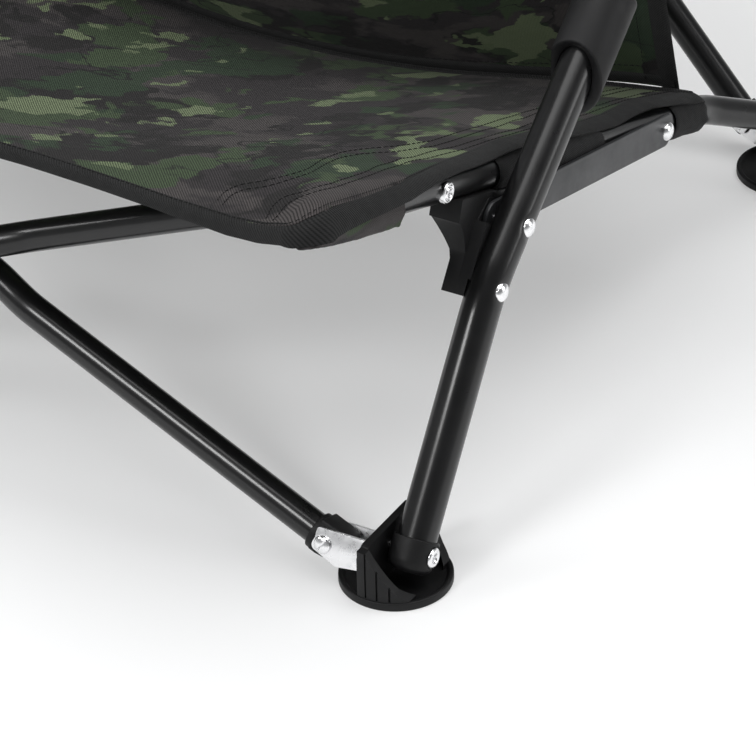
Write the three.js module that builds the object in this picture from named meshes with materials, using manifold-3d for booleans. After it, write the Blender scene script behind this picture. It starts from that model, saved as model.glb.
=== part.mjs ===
// Low folding fishing chair with a steel tube frame, four swivelling disc feet and a slung fabric seat.
// Millimetres. +X is the sitter's left-hand side seen from the front, -Y is the front, +Z is up.
// Origin: on the floor, midway between the pivots of the two front feet.
import * as THREE from "three";
import Module from "manifold-3d";

const wasm = await Module();
wasm.setup();

// Driving dimensions of the open chair
const LEG_X = 310; // centre plane of each front leg, from the middle of the chair
const RAIL_X = 285; // centre plane of each seat rail
const FOOT_X = 299; // centre of each foot disc
const SCISSOR_INSET = 20; // pivot of each scissor tube, inside the centre of its rail
const SCISSOR_HALF = RAIL_X - SCISSOR_INSET;
const PIVOT_Z = 21; // height of the foot pivots over the floor
const GAP = 0.3; // working clearance between neighbouring pieces

// Front leg and back post, one bent tube on each side
const LEG_D = 22;
const LEG_WALL = 1.5;
const LEG_BEND_Y = 84;
const LEG_BEND_Z = 143;
const LEG_BEND_R = 120;
const POST_LEAN = THREE.MathUtils.degToRad(51);
const POST_LENGTH = 807;
const TUBE_OVERRUN = 5; // tube length beyond its foot pivot

// Seat rail and rear leg, one bent tube on each side
const RAIL_D = 18;
const RAIL_WALL = 1.2;
const RAIL_EYELET_Y = 69;
const RAIL_EYELET_Z = 206;
const RAIL_RIVET_Y = 324;
const RAIL_RIVET_Z = 117;
const RAIL_FRONT_RUN = 137; // from the eyelet to the front end
const RAIL_REAR_RUN = 352; // from the eyelet to the bend into the rear leg
const RAIL_BEND_R = 60;
const KNEE_BEND_R = 30;
const REAR_FOOT_Y = 498;
const REAR_LEG_RISE = 35;
const REAR_LEG_RUN = 28;

// Scissor tubes
const CROSS_D = 18;
const CROSS_WALL = 1.2;
const CROSS_SPLIT = 3; // each tube's plane, from the middle plane of its scissor
const BOW_CLEAR = 0.7; // from the middle plane to each tube where the two cross
const BOW_FLAT = 32; // half length of the stretch that stands fully bowed
const BOW_END = 75; // half length of the whole bow
const FRONT_LOWER_Y = -13;
const FRONT_UPPER_Y = 49;
const FRONT_UPPER_Z = 211;
const REAR_LOWER_BACK = 13; // rear scissor pivots, behind the rear foot pivots
const POST_EYELET_AT = 780; // along the post, from its foot pivot

// Foot
const DISC_R = 31.6;
const DISC_EDGE = 5;
const DISC_FLOOR = 3;
const LIP_W = 2.6;
const LIP_SLOPE = 1;
const EDGE_ROUND = 0.8;
const RECESS_R = 23;
const RECESS_DEPTH = 1.2;
const TOWER_INNER = -7;
const TOWER_OUTER = -2.5;
const TOWER_H = 35;
const TOWER_SHOULDER = 7;
const WALL_T = 5;
const WALL_REACH = 21;
const GROOVE_W = 1;
const GROOVE_DEPTH = 0.8;
const GROOVE_STEP = 6.7;
const GROOVE_FIRST = -1.3;
const GROOVE_FOOT = 5.5;

// Leg caps and hollow pivot rivets
const CAP_R = 13;
const CAP_ABOVE = 22;
const CAP_BELOW = 11;
const CAP_ROUND = 4.5;
const BOSS_R = 7;
const BOSS_SINK = 1;
const PIN_R = 3;
const PIN_HEAD_R = 6;
const PIN_HEAD_H = 1.8;
const PIN_BORE_R = 2.1;
const PIN_BORE_DEPTH = 3;

// Zinc clips on the feet
const SHEET_T = 1.8;
const EAR_GAP = 8.4; // half of the clear way between the two ears
const EAR_TOP = 9.2;
const EAR_LOW = -8.3;
const EAR_TOE = -10.3;
const EAR_TOE_RUN = 9.2;
const EAR_NOSE = -7.4;
const EAR_NOSE_LOW = -3.2;
const EAR_BROW = -4.2;
const CLIP_RIVET_R = 3;
const CLIP_HEAD_R = 5.3;
const CLIP_HEAD_H = 2.2;
const SLOT_W = 1.1;
const SLOT_L = 6;
const SLOT_DEPTH = 0.7;

// Plugs in the lower ends of the scissor tubes
const PLUG_HALF = 8;
const PLUG_COLLAR_AT = 11.2;
const PLUG_COLLAR_L = 4;
const PLUG_COLLAR_R = 11;
const PLUG_SPIGOT_L = 20;
const PLUG_TIP = -12.3;
const PLUG_CHIN = -9;

// Clips at the upper ends of the scissor tubes
const UPPER_SHEET_T = 1.5;
const UPPER_LOW_H = 9;
const UPPER_TOP_H = 6.5;
const UPPER_BEYOND = 8;
const POST_CLIP_BACK = 20; // rear scissor plane behind the post's eyelet

// Bracket that carries the rail on the leg
const BRACKET_INNER_X = 277;
const BRACKET_OUTER_X = 295.5;
const SHELF_FRONT = 19; // behind the rail's eyelet
const SHELF_REAR = 58;
const SHELF_T = 13;
const CRADLE = 2.6;
const BLOCK_INNER_X = 287.5;
const BLOCK_FRONT = 7; // in front of the leg's centre line
const BLOCK_BACK = 11;
const BLOCK_FOOT = 140.5;
const GUSSET_HIGH = 163; // where the shelf's underside runs out on the block, along the leg
const GUSSET_BULGE = 0.4;
const SHELF_FILLET = 8;
const BOSS_PAD_R = 9;

// Link bar and dome rivets
const BAR_W = 20;
const BAR_T = 2.5;
const BAR_SIDE = 2.2; // from the rail's side to the bar
const DOME_R = 5.6;
const DOME_H = 3.6;
const DOME_SHANK_R = 2.7;
const DOME_SINK = 2; // how far the tube is pressed in under a rivet head
const DOME_LOWER_AT = 148; // along the leg, from its foot pivot
const DOME_UPPER_PAST_BEND = 39;
const SHANK_INTO_BRACKET = 8;

// Collar on the back post
const COLLAR_R = 17.6;
const COLLAR_LOW = 262;
const COLLAR_SLANT = 28;
const COLLAR_TOP = 330;
const COLLAR_FLAT_X = 296.4; // inner side, cut flat where the rail swings past

// Seat sling
const CLOTH_T = 1.8;
const SLEEVE_T = 1.6;
const SEAT_FRONT = 143;
const SEAT_REAR = 338;
const SEAT_SAG = 32;
const SEAT_SAG_SHARPNESS = 1.5;
const SEAT_SCOOP = 40;
const TAB_GAP_FRONT = [-38, 66];
const TAB_GAP_REAR = [194, 292];
const TAB_INSET = 11;
const SCALLOP = 7;

// Back sling
const BACK_TOP_OVER = 5;
const BACK_SLEEVE_FROM = 420;
const BACK_SAG = 34;
const BACK_SAG_SHARPNESS = 1.3;
const BACK_LOW_HALF = 272;
const BACK_FOLD_EDGE = 0.12; // share of each run that the fold takes at the sides
const BACK_FOLD_MIDDLE = 0.55; // share that it takes more in the middle
const EYELET_WINDOW = 17; // half length of the gap in the sleeve beside the post's eyelet
const WINDOW_REACH = 22;

// Facet counts
const LEG_SEGMENTS = 16;
const CROSS_SEGMENTS = 12;
const BORE_SEGMENTS = 8;
const HOLE_SEGMENTS = 8;
const HEAD_SEGMENTS = 10;
const DISC_SEGMENTS = 28;
const BEND_STEPS = 3;
const BOW_STEPS = 2;
const CROSS_BORE_SEGMENTS = 6;

// Materials
const blackTube = { color: 0x141416, roughness: 0.34, metalness: 0.55 };
const blackPlastic = { color: 0x19191b, roughness: 0.62, metalness: 0 };
const greySteel = { color: 0x3a3b3e, roughness: 0.48, metalness: 0.5 };
const zinc = { color: 0xc9cbcd, roughness: 0.33, metalness: 0.95 };
const bright = { color: 0xd9dadc, roughness: 0.2, metalness: 1 };
const camouflage = { color: 0x2f3526, roughness: 0.92, metalness: 0 };

// Points and directions in a side plane, given as (y, z)
const yz = (y, z) => new THREE.Vector2(y, z);
const at = (x, p) => new THREE.Vector3(x, p.x, p.y);
const along = (p, q, t) => p.clone().addScaledVector(q, t);
const unit = (p, q) => q.clone().sub(p).normalize();
const leftOf = (d) => yz(-d.y, d.x);

const frontPivot = yz(0, PIVOT_Z);
const legBend = yz(LEG_BEND_Y, LEG_BEND_Z);
const legDir = unit(frontPivot, legBend);
const postDir = yz(Math.sin(POST_LEAN), Math.cos(POST_LEAN));
const bendAt = frontPivot.distanceTo(legBend);
const onPost = (t) => along(legBend, postDir, t - bendAt);
const domeLower = along(frontPivot, legDir, DOME_LOWER_AT);
const domeUpper = along(legBend, postDir, DOME_UPPER_PAST_BEND);
const postEyelet = onPost(POST_EYELET_AT);

const railEyelet = yz(RAIL_EYELET_Y, RAIL_EYELET_Z);
const railRivet = yz(RAIL_RIVET_Y, RAIL_RIVET_Z);
const railDir = unit(railEyelet, railRivet);
const railUp = leftOf(railDir);
const railFront = along(railEyelet, railDir, -RAIL_FRONT_RUN);
const railBend = along(railEyelet, railDir, RAIL_REAR_RUN);
const rearPivot = yz(REAR_FOOT_Y, PIVOT_Z);
const rearKnee = yz(REAR_FOOT_Y - REAR_LEG_RUN, PIVOT_Z + REAR_LEG_RISE);
const rearDir = unit(rearPivot, rearKnee);

// Solid tools
const deg = THREE.MathUtils.degToRad;

function toSolid(geometry) {
  const g = geometry.index ? geometry.toNonIndexed() : geometry;
  const p = g.attributes.position;
  const keys = new Map();
  const verts = [];
  const tris = [];
  const grid = 1e5;
  for (let i = 0; i < p.count; i++) {
    const v = [p.getX(i), p.getY(i), p.getZ(i)];
    const key = v.map((c) => Math.round(c * grid)).join();
    if (!keys.has(key)) {
      keys.set(key, verts.length / 3);
      verts.push(...v);
    }
    tris.push(keys.get(key));
  }
  const kept = [];
  for (let i = 0; i < tris.length; i += 3) {
    const [a, b, c] = [tris[i], tris[i + 1], tris[i + 2]];
    if (a !== b && b !== c && c !== a) kept.push(a, b, c);
  }
  const mesh = new wasm.Mesh({
    numProp: 3,
    vertProperties: new Float32Array(verts),
    triVerts: new Uint32Array(kept),
  });
  return new wasm.Manifold(mesh);
}

function toGeometry(solid) {
  const mesh = solid.getMesh();
  const g = new THREE.BufferGeometry();
  const corners = new Float32Array(mesh.triVerts.length * 3);
  mesh.triVerts.forEach((v, i) => {
    for (let k = 0; k < 3; k++) corners[3 * i + k] = mesh.vertProperties[mesh.numProp * v + k];
  });
  g.setAttribute("position", new THREE.BufferAttribute(corners, 3));
  g.computeVertexNormals();
  return g;
}

// A body of revolution about the line from a point along a direction; the profile is (radius, height)
function revolve(profile, origin, direction, segments = HOLE_SEGMENTS) {
  const points = profile.map(([r, h]) => new THREE.Vector2(r, h));
  const g = new THREE.LatheGeometry(points, segments);
  const up = new THREE.Vector3(0, 1, 0);
  g.applyQuaternion(new THREE.Quaternion().setFromUnitVectors(up, direction.clone().normalize()));
  g.translate(origin.x, origin.y, origin.z);
  const solid = toSolid(g);
  return solid.volume() < 0 ? toSolid(flipped(g)) : solid;
}

function flipped(geometry) {
  const g = geometry.index ? geometry.toNonIndexed() : geometry.clone();
  const p = g.attributes.position;
  for (let i = 0; i < p.count; i += 3) {
    for (let k = 0; k < 3; k++) {
      const a = p.getComponent(i + 1, k);
      p.setComponent(i + 1, k, p.getComponent(i + 2, k));
      p.setComponent(i + 2, k, a);
    }
  }
  return g;
}

const rod = (r, origin, direction, from, to, segments) =>
  revolve([[0, from], [r, from], [r, to], [0, to]], origin, direction, segments);

// A flat outline pushed through a thickness; the outline lies in the plane of two directions
function slab(outline, origin, right, up, from, to) {
  const shape = new THREE.Shape(outline.map(([a, b]) => new THREE.Vector2(a, b)));
  const g = new THREE.ExtrudeGeometry(shape, { depth: to - from, bevelEnabled: false });
  g.translate(0, 0, from);
  const out = new THREE.Vector3().crossVectors(right, up);
  const m = new THREE.Matrix4().makeBasis(right, up, out).setPosition(origin);
  g.applyMatrix4(m);
  return toSolid(g);
}

// The outline is in (y, z) of a side plane; the thickness runs along X
const sideSlab = (outline, fromX, toX) =>
  slab(outline, new THREE.Vector3(), new THREE.Vector3(0, 1, 0), new THREE.Vector3(0, 0, 1), fromX, toX);

const X_DIR = new THREE.Vector3(1, 0, 0);
const acrossX = (r, p, fromX, toX, segments) => rod(r, at(0, p), X_DIR, fromX, toX, segments);

// A path of stations whose sweep keeps one section at each station
class StationPath extends THREE.Curve {
  constructor(stations) {
    super();
    this.stations = stations;
  }
  getPointAt(u, target = new THREE.Vector3()) {
    return target.copy(this.stations[Math.round(u * (this.stations.length - 1))].p);
  }
  getTangentAt(u, target = new THREE.Vector3()) {
    return target.copy(this.stations[Math.round(u * (this.stations.length - 1))].t);
  }
}

// Straight runs joined by arcs, from the corners and the radius at each inner corner
function bentPath(corners, radii) {
  const stations = [];
  const last = corners.length - 1;
  const dir = (i) => corners[i + 1].clone().sub(corners[i]).normalize();
  stations.push({ p: corners[0].clone(), t: dir(0) });
  for (let i = 1; i < last; i++) {
    const d0 = dir(i - 1);
    const d1 = dir(i);
    const turn = d0.angleTo(d1);
    const reach = radii[i - 1] * Math.tan(turn / 2);
    const start = corners[i].clone().addScaledVector(d0, -reach);
    const side = d1.clone().addScaledVector(d0, -Math.cos(turn)).normalize();
    for (let k = 0; k <= BEND_STEPS; k++) {
      const a = (turn * k) / BEND_STEPS;
      const p = start.clone();
      p.addScaledVector(d0, radii[i - 1] * Math.sin(a));
      p.addScaledVector(side, radii[i - 1] * (1 - Math.cos(a)));
      const t = d0.clone().multiplyScalar(Math.cos(a)).addScaledVector(side, Math.sin(a));
      stations.push({ p, t: t.normalize() });
    }
  }
  stations.push({ p: corners[last].clone(), t: dir(last - 1) });
  return stations;
}

function sweep(stations, r, segments) {
  const ring = [];
  for (let i = 0; i < segments; i++) {
    const a = (2 * Math.PI * i) / segments;
    ring.push(new THREE.Vector2(r * Math.cos(a), r * Math.sin(a)));
  }
  const g = new THREE.ExtrudeGeometry(new THREE.Shape(ring), {
    steps: stations.length - 1,
    extrudePath: new StationPath(stations),
    bevelEnabled: false,
  });
  const solid = toSolid(g);
  return solid.volume() < 0 ? toSolid(flipped(g)) : solid;
}

const END_CUT = 1; // overrun of a cutting tool past the face that it leaves

function hollow(stations, r, wall, segments) {
  const longer = stations.map((s) => ({ p: s.p.clone(), t: s.t }));
  longer[0].p.addScaledVector(longer[0].t, -END_CUT);
  longer[longer.length - 1].p.addScaledVector(longer[longer.length - 1].t, END_CUT);
  return sweep(stations, r, segments).subtract(sweep(longer, r - wall, BORE_SEGMENTS));
}

// Parts are gathered in named groups
const chair = new THREE.Group();
chair.name = "folding_chair";
const groups = {};

function add(groupName, name, solid, look) {
  if (!groups[groupName]) {
    groups[groupName] = new THREE.Group();
    groups[groupName].name = groupName;
    chair.add(groups[groupName]);
  }
  const mesh = new THREE.Mesh(toGeometry(solid), new THREE.MeshStandardMaterial(look));
  mesh.name = name;
  groups[groupName].add(mesh);
}

const mirrored = (solid) => solid.mirror([1, 0, 0]);

function addPair(groupName, name, solid, look) {
  add(`${groupName}_right`, `${name}_right`, solid, look);
  add(`${groupName}_left`, `${name}_left`, mirrored(solid), look);
}

// Foot: a dished disc with a pivot wall and two curved buttress walls, for the right front corner
const holeR = PIN_R + GAP;
const Z_DIR = new THREE.Vector3(0, 0, 1);
const Y_DIR = new THREE.Vector3(0, 1, 0);
const ORIGIN = new THREE.Vector3();

function footSolid() {
  const disc = revolve(
    [
      [0, RECESS_DEPTH],
      [RECESS_R, RECESS_DEPTH],
      [RECESS_R + RECESS_DEPTH, 0],
      [DISC_R, 0],
      [DISC_R, DISC_EDGE - EDGE_ROUND],
      [DISC_R - EDGE_ROUND, DISC_EDGE],
      [DISC_R - LIP_W, DISC_EDGE],
      [DISC_R - LIP_W - LIP_SLOPE, DISC_FLOOR],
      [0, DISC_FLOOR],
    ],
    ORIGIN,
    Z_DIR,
    DISC_SEGMENTS,
  );
  const inside = DISC_R - EDGE_ROUND;
  const root = EDGE_ROUND + RECESS_DEPTH;
  const round = rod(inside, ORIGIN, Z_DIR, root, TOWER_H, DISC_SEGMENTS);
  const core = rod(inside - WALL_T, ORIGIN, Z_DIR, -END_CUT, TOWER_H + END_CUT, DISC_SEGMENTS);
  const tower = sideSlab(
    [
      [-DISC_R, root],
      [DISC_R, root],
      [DISC_R, TOWER_H - TOWER_SHOULDER],
      [DISC_R - TOWER_SHOULDER, TOWER_H],
      [TOWER_SHOULDER - DISC_R, TOWER_H],
      [-DISC_R, TOWER_H - TOWER_SHOULDER],
    ],
    TOWER_INNER,
    TOWER_OUTER,
  ).intersect(round);
  const buttress = slab(
    [
      [TOWER_INNER, root],
      [WALL_REACH, root],
      [WALL_REACH, DISC_EDGE],
      [TOWER_OUTER, TOWER_H - EDGE_ROUND],
      [TOWER_INNER, TOWER_H - EDGE_ROUND],
    ],
    ORIGIN,
    new THREE.Vector3(1, 0, 0),
    Z_DIR,
    -DISC_R,
    DISC_R,
  )
    .intersect(round)
    .subtract(core);
  let foot = disc.add(tower.add(buttress.intersect(tower.add(buttress))));
  for (let i = 0; i < 3; i++) {
    const x = GROOVE_FIRST + i * GROOVE_STEP;
    const front = -Math.sqrt(inside * inside - x * x);
    const cut = new THREE.BoxGeometry(GROOVE_W, 2 * GROOVE_DEPTH, TOWER_H);
    cut.translate(x, front, GROOVE_FOOT + TOWER_H / 2);
    foot = foot.subtract(toSolid(cut));
  }
  return foot.subtract(rod(holeR, new THREE.Vector3(0, 0, PIVOT_Z), X_DIR, TOWER_INNER - END_CUT, 0));
}

// Cap on a leg's lower end, with a flat seat for the hollow rivet
function capSolid(pivot, dir, tubeR) {
  const body = revolve(
    [
      [0, -CAP_BELOW],
      [CAP_R - CAP_ROUND, -CAP_BELOW],
      [CAP_R - CAP_ROUND / 3, CAP_ROUND - CAP_BELOW - CAP_ROUND / 3],
      [CAP_R, CAP_ROUND - CAP_BELOW],
      [CAP_R, CAP_ABOVE - EDGE_ROUND],
      [CAP_R - EDGE_ROUND, CAP_ABOVE],
      [tubeR + GAP, CAP_ABOVE],
      [tubeR + GAP, -TUBE_OVERRUN - GAP],
      [0, -TUBE_OVERRUN - GAP],
    ],
    at(LEG_X, pivot),
    at(0, dir),
    LEG_SEGMENTS,
  );
  const boss = acrossX(BOSS_R, pivot, LEG_X + CAP_R - BOSS_SINK, LEG_X + CAP_R + END_CUT);
  const bore = acrossX(holeR, pivot, LEG_X - CAP_R - END_CUT, LEG_X + CAP_R + END_CUT);
  return body.subtract(boss).subtract(bore);
}

// Hollow rivet on which a foot turns
function pinSolid(pivot) {
  const inner = FOOT_X + TOWER_INNER + EDGE_ROUND;
  const face = LEG_X + CAP_R - BOSS_SINK + GAP;
  return revolve(
    [
      [0, inner],
      [PIN_R, inner],
      [PIN_R, face],
      [PIN_HEAD_R, face],
      [PIN_HEAD_R - EDGE_ROUND / 2, face + PIN_HEAD_H / 2],
      [PIN_HEAD_R - PIN_HEAD_H, face + PIN_HEAD_H],
      [PIN_BORE_R + EDGE_ROUND / 2, face + PIN_HEAD_H],
      [PIN_BORE_R, face + PIN_HEAD_H / 2],
      [PIN_BORE_R, face + PIN_HEAD_H - PIN_BORE_DEPTH],
      [0, face + PIN_HEAD_H - PIN_BORE_DEPTH],
    ],
    at(0, pivot),
    X_DIR,
    HEAD_SEGMENTS,
  );
}

// Scissor frames: x across the chair, u up the scissor's plane, n square to it towards the rear
function scissorFrame(lower, lean, rise) {
  return {
    origin: at(0, lower),
    u: new THREE.Vector3(0, Math.sin(lean), Math.cos(lean)),
    n: new THREE.Vector3(0, Math.cos(lean), -Math.sin(lean)),
    rise,
    length: Math.hypot(2 * SCISSOR_HALF, rise),
  };
}
const placeIn = (f, x, u, n) =>
  f.origin.clone().addScaledVector(X_DIR, x).addScaledVector(f.u, u).addScaledVector(f.n, n);

const frontLower = yz(FRONT_LOWER_Y, PIVOT_Z);
const frontUpper = yz(FRONT_UPPER_Y, FRONT_UPPER_Z);
const frontLine = frontUpper.clone().sub(frontLower);
const frontFrame = scissorFrame(frontLower, Math.atan2(frontLine.x, frontLine.y), frontLine.length());
const rearLower = yz(REAR_FOOT_Y + REAR_LOWER_BACK, PIVOT_Z);
const toEyelet = postEyelet.clone().sub(rearLower);
const rearRise = Math.sqrt(toEyelet.lengthSq() - POST_CLIP_BACK ** 2);
const rearLean = Math.atan2(toEyelet.x, toEyelet.y) + Math.asin(POST_CLIP_BACK / toEyelet.length());
const rearFrame = scissorFrame(rearLower, rearLean, rearRise);

const crossR = CROSS_D / 2;
const rivetHole = CLIP_RIVET_R + GAP;

// One scissor tube; side +1 has its lower end at +X, and layer is the sign of its offset along n
function crossTube(f, side, layer, centreHole) {
  const base = placeIn(f, side * SCISSOR_HALF, 0, 0);
  const run = X_DIR.clone().multiplyScalar(-2 * side * SCISSOR_HALF).addScaledVector(f.u, f.rise);
  const e = run.normalize();
  const middle = f.length / 2;
  const bowed = crossR + BOW_CLEAR;
  const start = PLUG_COLLAR_AT + PLUG_COLLAR_L + GAP;
  const offsetAt = (t) => {
    const reach = Math.abs(t - middle);
    const s = THREE.MathUtils.smoothstep(BOW_END - reach, 0, BOW_END - BOW_FLAT);
    return layer * (CROSS_SPLIT + (bowed - CROSS_SPLIT) * s);
  };
  const marks = [];
  for (let k = 0; k <= BOW_STEPS; k++) marks.push(BOW_FLAT + ((BOW_END - BOW_FLAT) * k) / BOW_STEPS);
  const stops = [start];
  for (const m of [...marks].reverse()) stops.push(middle - m);
  for (const m of marks) stops.push(middle + m);
  stops.push(f.length);
  const point = (t) => base.clone().addScaledVector(e, t).addScaledVector(f.n, offsetAt(t));
  const stations = stops.map((t) => ({ p: point(t), t: e.clone() }));
  const tip = point(f.length);
  const domeR = crossR - EDGE_ROUND / 4;
  const domeArc = [1.2, 2.1, 3].map((k) => (k * Math.PI) / 6).map((v) => [domeR * Math.cos(v), domeR * Math.sin(v)]);
  domeArc[2][0] = 0;
  const dome = revolve([[0, -END_CUT], [domeR, -END_CUT], [domeR, GAP], ...domeArc], tip, e, CROSS_SEGMENTS);
  const inner = stations.map((s) => ({ p: s.p.clone(), t: s.t }));
  inner[0].p.addScaledVector(e, -END_CUT);
  const bore = sweep(inner, crossR - CROSS_WALL, CROSS_BORE_SEGMENTS);
  let tube = sweep(stations, crossR, CROSS_SEGMENTS).add(dome).subtract(bore);
  tube = tube.subtract(rod(rivetHole, tip, f.n, -CROSS_D, CROSS_D));
  if (centreHole) tube = tube.subtract(rod(rivetHole, point(middle), f.n, -CROSS_D, CROSS_D));
  return tube;
}

// Plug with a pointed tongue in the lower end of a scissor tube
function plugSolid(f, side, layer) {
  const pivot = placeIn(f, side * SCISSOR_HALF, 0, layer * CROSS_SPLIT);
  const e = X_DIR.clone().multiplyScalar(-2 * side * SCISSOR_HALF).addScaledVector(f.u, f.rise).normalize();
  const up = X_DIR.clone().multiplyScalar(side * f.rise).addScaledVector(f.u, 2 * SCISSOR_HALF).normalize();
  const outline = [
    [PLUG_COLLAR_AT, PLUG_CHIN],
    [PLUG_COLLAR_AT, PLUG_COLLAR_R],
    [PLUG_TIP, PLUG_COLLAR_R],
    [PLUG_CHIN, 0],
    [-CLIP_RIVET_R, -PLUG_HALF],
    [CLIP_RIVET_R, PLUG_CHIN],
  ];
  const ordered = side > 0 ? outline : outline;
  const tongue = slab(ordered, pivot, e, up, -PLUG_HALF, PLUG_HALF);
  const from = PLUG_COLLAR_AT - EDGE_ROUND;
  const shoulder = PLUG_COLLAR_AT + PLUG_COLLAR_L;
  const spigotR = (crossR - CROSS_WALL) * Math.cos(Math.PI / CROSS_BORE_SEGMENTS) - GAP;
  const barrel = revolve(
    [
      [0, from],
      [PLUG_COLLAR_R - EDGE_ROUND, from],
      [PLUG_COLLAR_R, PLUG_COLLAR_AT],
      [PLUG_COLLAR_R, shoulder],
      [spigotR, shoulder],
      [spigotR, shoulder + PLUG_SPIGOT_L],
      [0, shoulder + PLUG_SPIGOT_L],
    ],
    pivot,
    e,
    CROSS_SEGMENTS,
  );
  return tongue.add(barrel).subtract(rod(rivetHole, pivot, f.n, -CROSS_D, CROSS_D));
}

// Zinc clip that holds a scissor tube's lower end on a foot
function clipSolid(f, side, layer) {
  const pivot = placeIn(f, side * SCISSOR_HALF, 0, layer * CROSS_SPLIT);
  const out = X_DIR.clone().multiplyScalar(side);
  const back = FOOT_X + TOWER_INNER - GAP - SCISSOR_HALF;
  const ear = [
    [EAR_BROW, EAR_TOP],
    [EAR_NOSE, EAR_NOSE_LOW],
    [EAR_TOE_RUN, EAR_TOE],
    [back - SHEET_T, EAR_LOW],
    [back, EAR_LOW],
    [back, EAR_TOP],
  ];
  const whole = slab(ear, pivot, out, f.u, -EAR_GAP - SHEET_T, EAR_GAP + SHEET_T);
  const space = [
    [EAR_NOSE - END_CUT, EAR_TOE - END_CUT],
    [back - SHEET_T, EAR_TOE - END_CUT],
    [back - SHEET_T, EAR_TOP + END_CUT],
    [EAR_NOSE - END_CUT, EAR_TOP + END_CUT],
  ];
  return whole
    .subtract(slab(space, pivot, out, f.u, -EAR_GAP, EAR_GAP))
    .subtract(rod(rivetHole, pivot, f.n, -CROSS_D, CROSS_D));
}

// Rivet through two ears and the tube end between them, with a slotted front head
function earRivet(f, x, u, n, halfGrip, slotted) {
  const pivot = placeIn(f, x, u, n);
  const face = halfGrip + GAP / 2;
  const dome = (s) => [
    [CLIP_RIVET_R, s * face],
    [CLIP_HEAD_R, s * face],
    [CLIP_HEAD_R - EDGE_ROUND / 2, s * (face + CLIP_HEAD_H / 2)],
    [CLIP_HEAD_R - CLIP_HEAD_H, s * (face + CLIP_HEAD_H)],
    [0, s * (face + CLIP_HEAD_H)],
  ];
  const body = revolve([...dome(-1).reverse(), ...dome(1)], pivot, f.n, HEAD_SEGMENTS);
  if (!slotted) return body;
  const slot = new THREE.BoxGeometry(SLOT_L, SLOT_W, 2 * SLOT_DEPTH);
  const m = new THREE.Matrix4().makeBasis(X_DIR, f.u, new THREE.Vector3().crossVectors(X_DIR, f.u));
  slot.applyMatrix4(m);
  const front = pivot.clone().addScaledVector(f.n, -(face + CLIP_HEAD_H));
  slot.translate(front.x, front.y, front.z);
  return body.subtract(toSolid(slot));
}

// Clip at a scissor tube's upper end; its back plate stands against the rail or the post
function upperClipSolid(f, side, layer, faceX, eyeletN) {
  const pivot = placeIn(f, side * SCISSOR_HALF, f.rise, layer * CROSS_SPLIT);
  const out = X_DIR.clone().multiplyScalar(side);
  const back = faceX - GAP - SCISSOR_HALF;
  const half = crossR + GAP + UPPER_SHEET_T;
  const eyelet = eyeletN - layer * CROSS_SPLIT;
  const low = Math.min(-half, eyelet - UPPER_BEYOND);
  const high = Math.max(half, eyelet + UPPER_BEYOND);
  const plate = [
    [back - UPPER_SHEET_T, -UPPER_LOW_H],
    [back, -UPPER_LOW_H],
    [back, UPPER_TOP_H],
    [back - UPPER_SHEET_T, UPPER_TOP_H],
  ];
  const ear = [
    [EAR_NOSE, EAR_NOSE_LOW],
    [EAR_NOSE / 2, -UPPER_LOW_H],
    [back, -UPPER_LOW_H],
    [back, UPPER_TOP_H],
    [EAR_NOSE / 2, UPPER_TOP_H],
    [EAR_NOSE, -EAR_NOSE_LOW],
  ];
  const inner = half - UPPER_SHEET_T;
  const [from, to] = side > 0 ? [-high, -low] : [low, high];
  return slab(plate, pivot, out, f.u, from, to)
    .add(slab(ear, pivot, out, f.u, -half, -inner))
    .add(slab(ear, pivot, out, f.u, inner, half))
    .subtract(rod(rivetHole, pivot, f.n, -CROSS_D, CROSS_D));
}

// Rivet where two scissor tubes cross; a share of its length can be left out
function centreRivet(f, through) {
  const centre = placeIn(f, 0, f.rise / 2, 0);
  const face = CROSS_D + BOW_CLEAR + GAP;
  const head = (s) => [
    [CLIP_RIVET_R, s * face],
    [CLIP_HEAD_R, s * face],
    [CLIP_HEAD_R - EDGE_ROUND, s * (face + CLIP_HEAD_H / 2)],
    [CLIP_HEAD_R - CLIP_HEAD_H, s * (face + CLIP_HEAD_H)],
    [0, s * (face + CLIP_HEAD_H)],
  ];
  const start = through ? head(-1).reverse() : [[0, GAP], [CLIP_RIVET_R, GAP]];
  return revolve([...start, ...head(1)], centre, f.n, HEAD_SEGMENTS);
}

// Feet, caps and pins
const foot = footSolid();
const rearFoot = foot.mirror([0, 1, 0]);
addPair("front_foot", "foot_front", foot.translate([FOOT_X, 0, 0]), blackPlastic);
addPair("rear_foot", "foot_rear", rearFoot.translate([FOOT_X, REAR_FOOT_Y, 0]), blackPlastic);
addPair("side_frame", "leg_cap_front", capSolid(frontPivot, legDir, LEG_D / 2), blackPlastic);
addPair("side_frame", "leg_cap_rear", capSolid(rearPivot, rearDir, RAIL_D / 2), blackPlastic);
addPair("front_foot", "foot_pin_front", pinSolid(frontPivot), bright);
addPair("rear_foot", "foot_pin_rear", pinSolid(rearPivot), bright);

// Front leg and back post
const legStart = along(frontPivot, legDir, -TUBE_OVERRUN);
const legPath = bentPath([at(LEG_X, legStart), at(LEG_X, legBend), at(LEG_X, onPost(POST_LENGTH))], [LEG_BEND_R]);
const domeHole = DOME_SHANK_R + GAP;
const legTube = hollow(legPath, LEG_D / 2, LEG_WALL, LEG_SEGMENTS)
  .subtract(acrossX(holeR, frontPivot, LEG_X - LEG_D, LEG_X + LEG_D))
  .subtract(acrossX(domeHole, domeLower, LEG_X - LEG_D, LEG_X + LEG_D))
  .subtract(acrossX(domeHole, domeUpper, LEG_X - LEG_D, LEG_X + LEG_D));
addPair("side_frame", "leg_post", legTube, blackTube);

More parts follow.
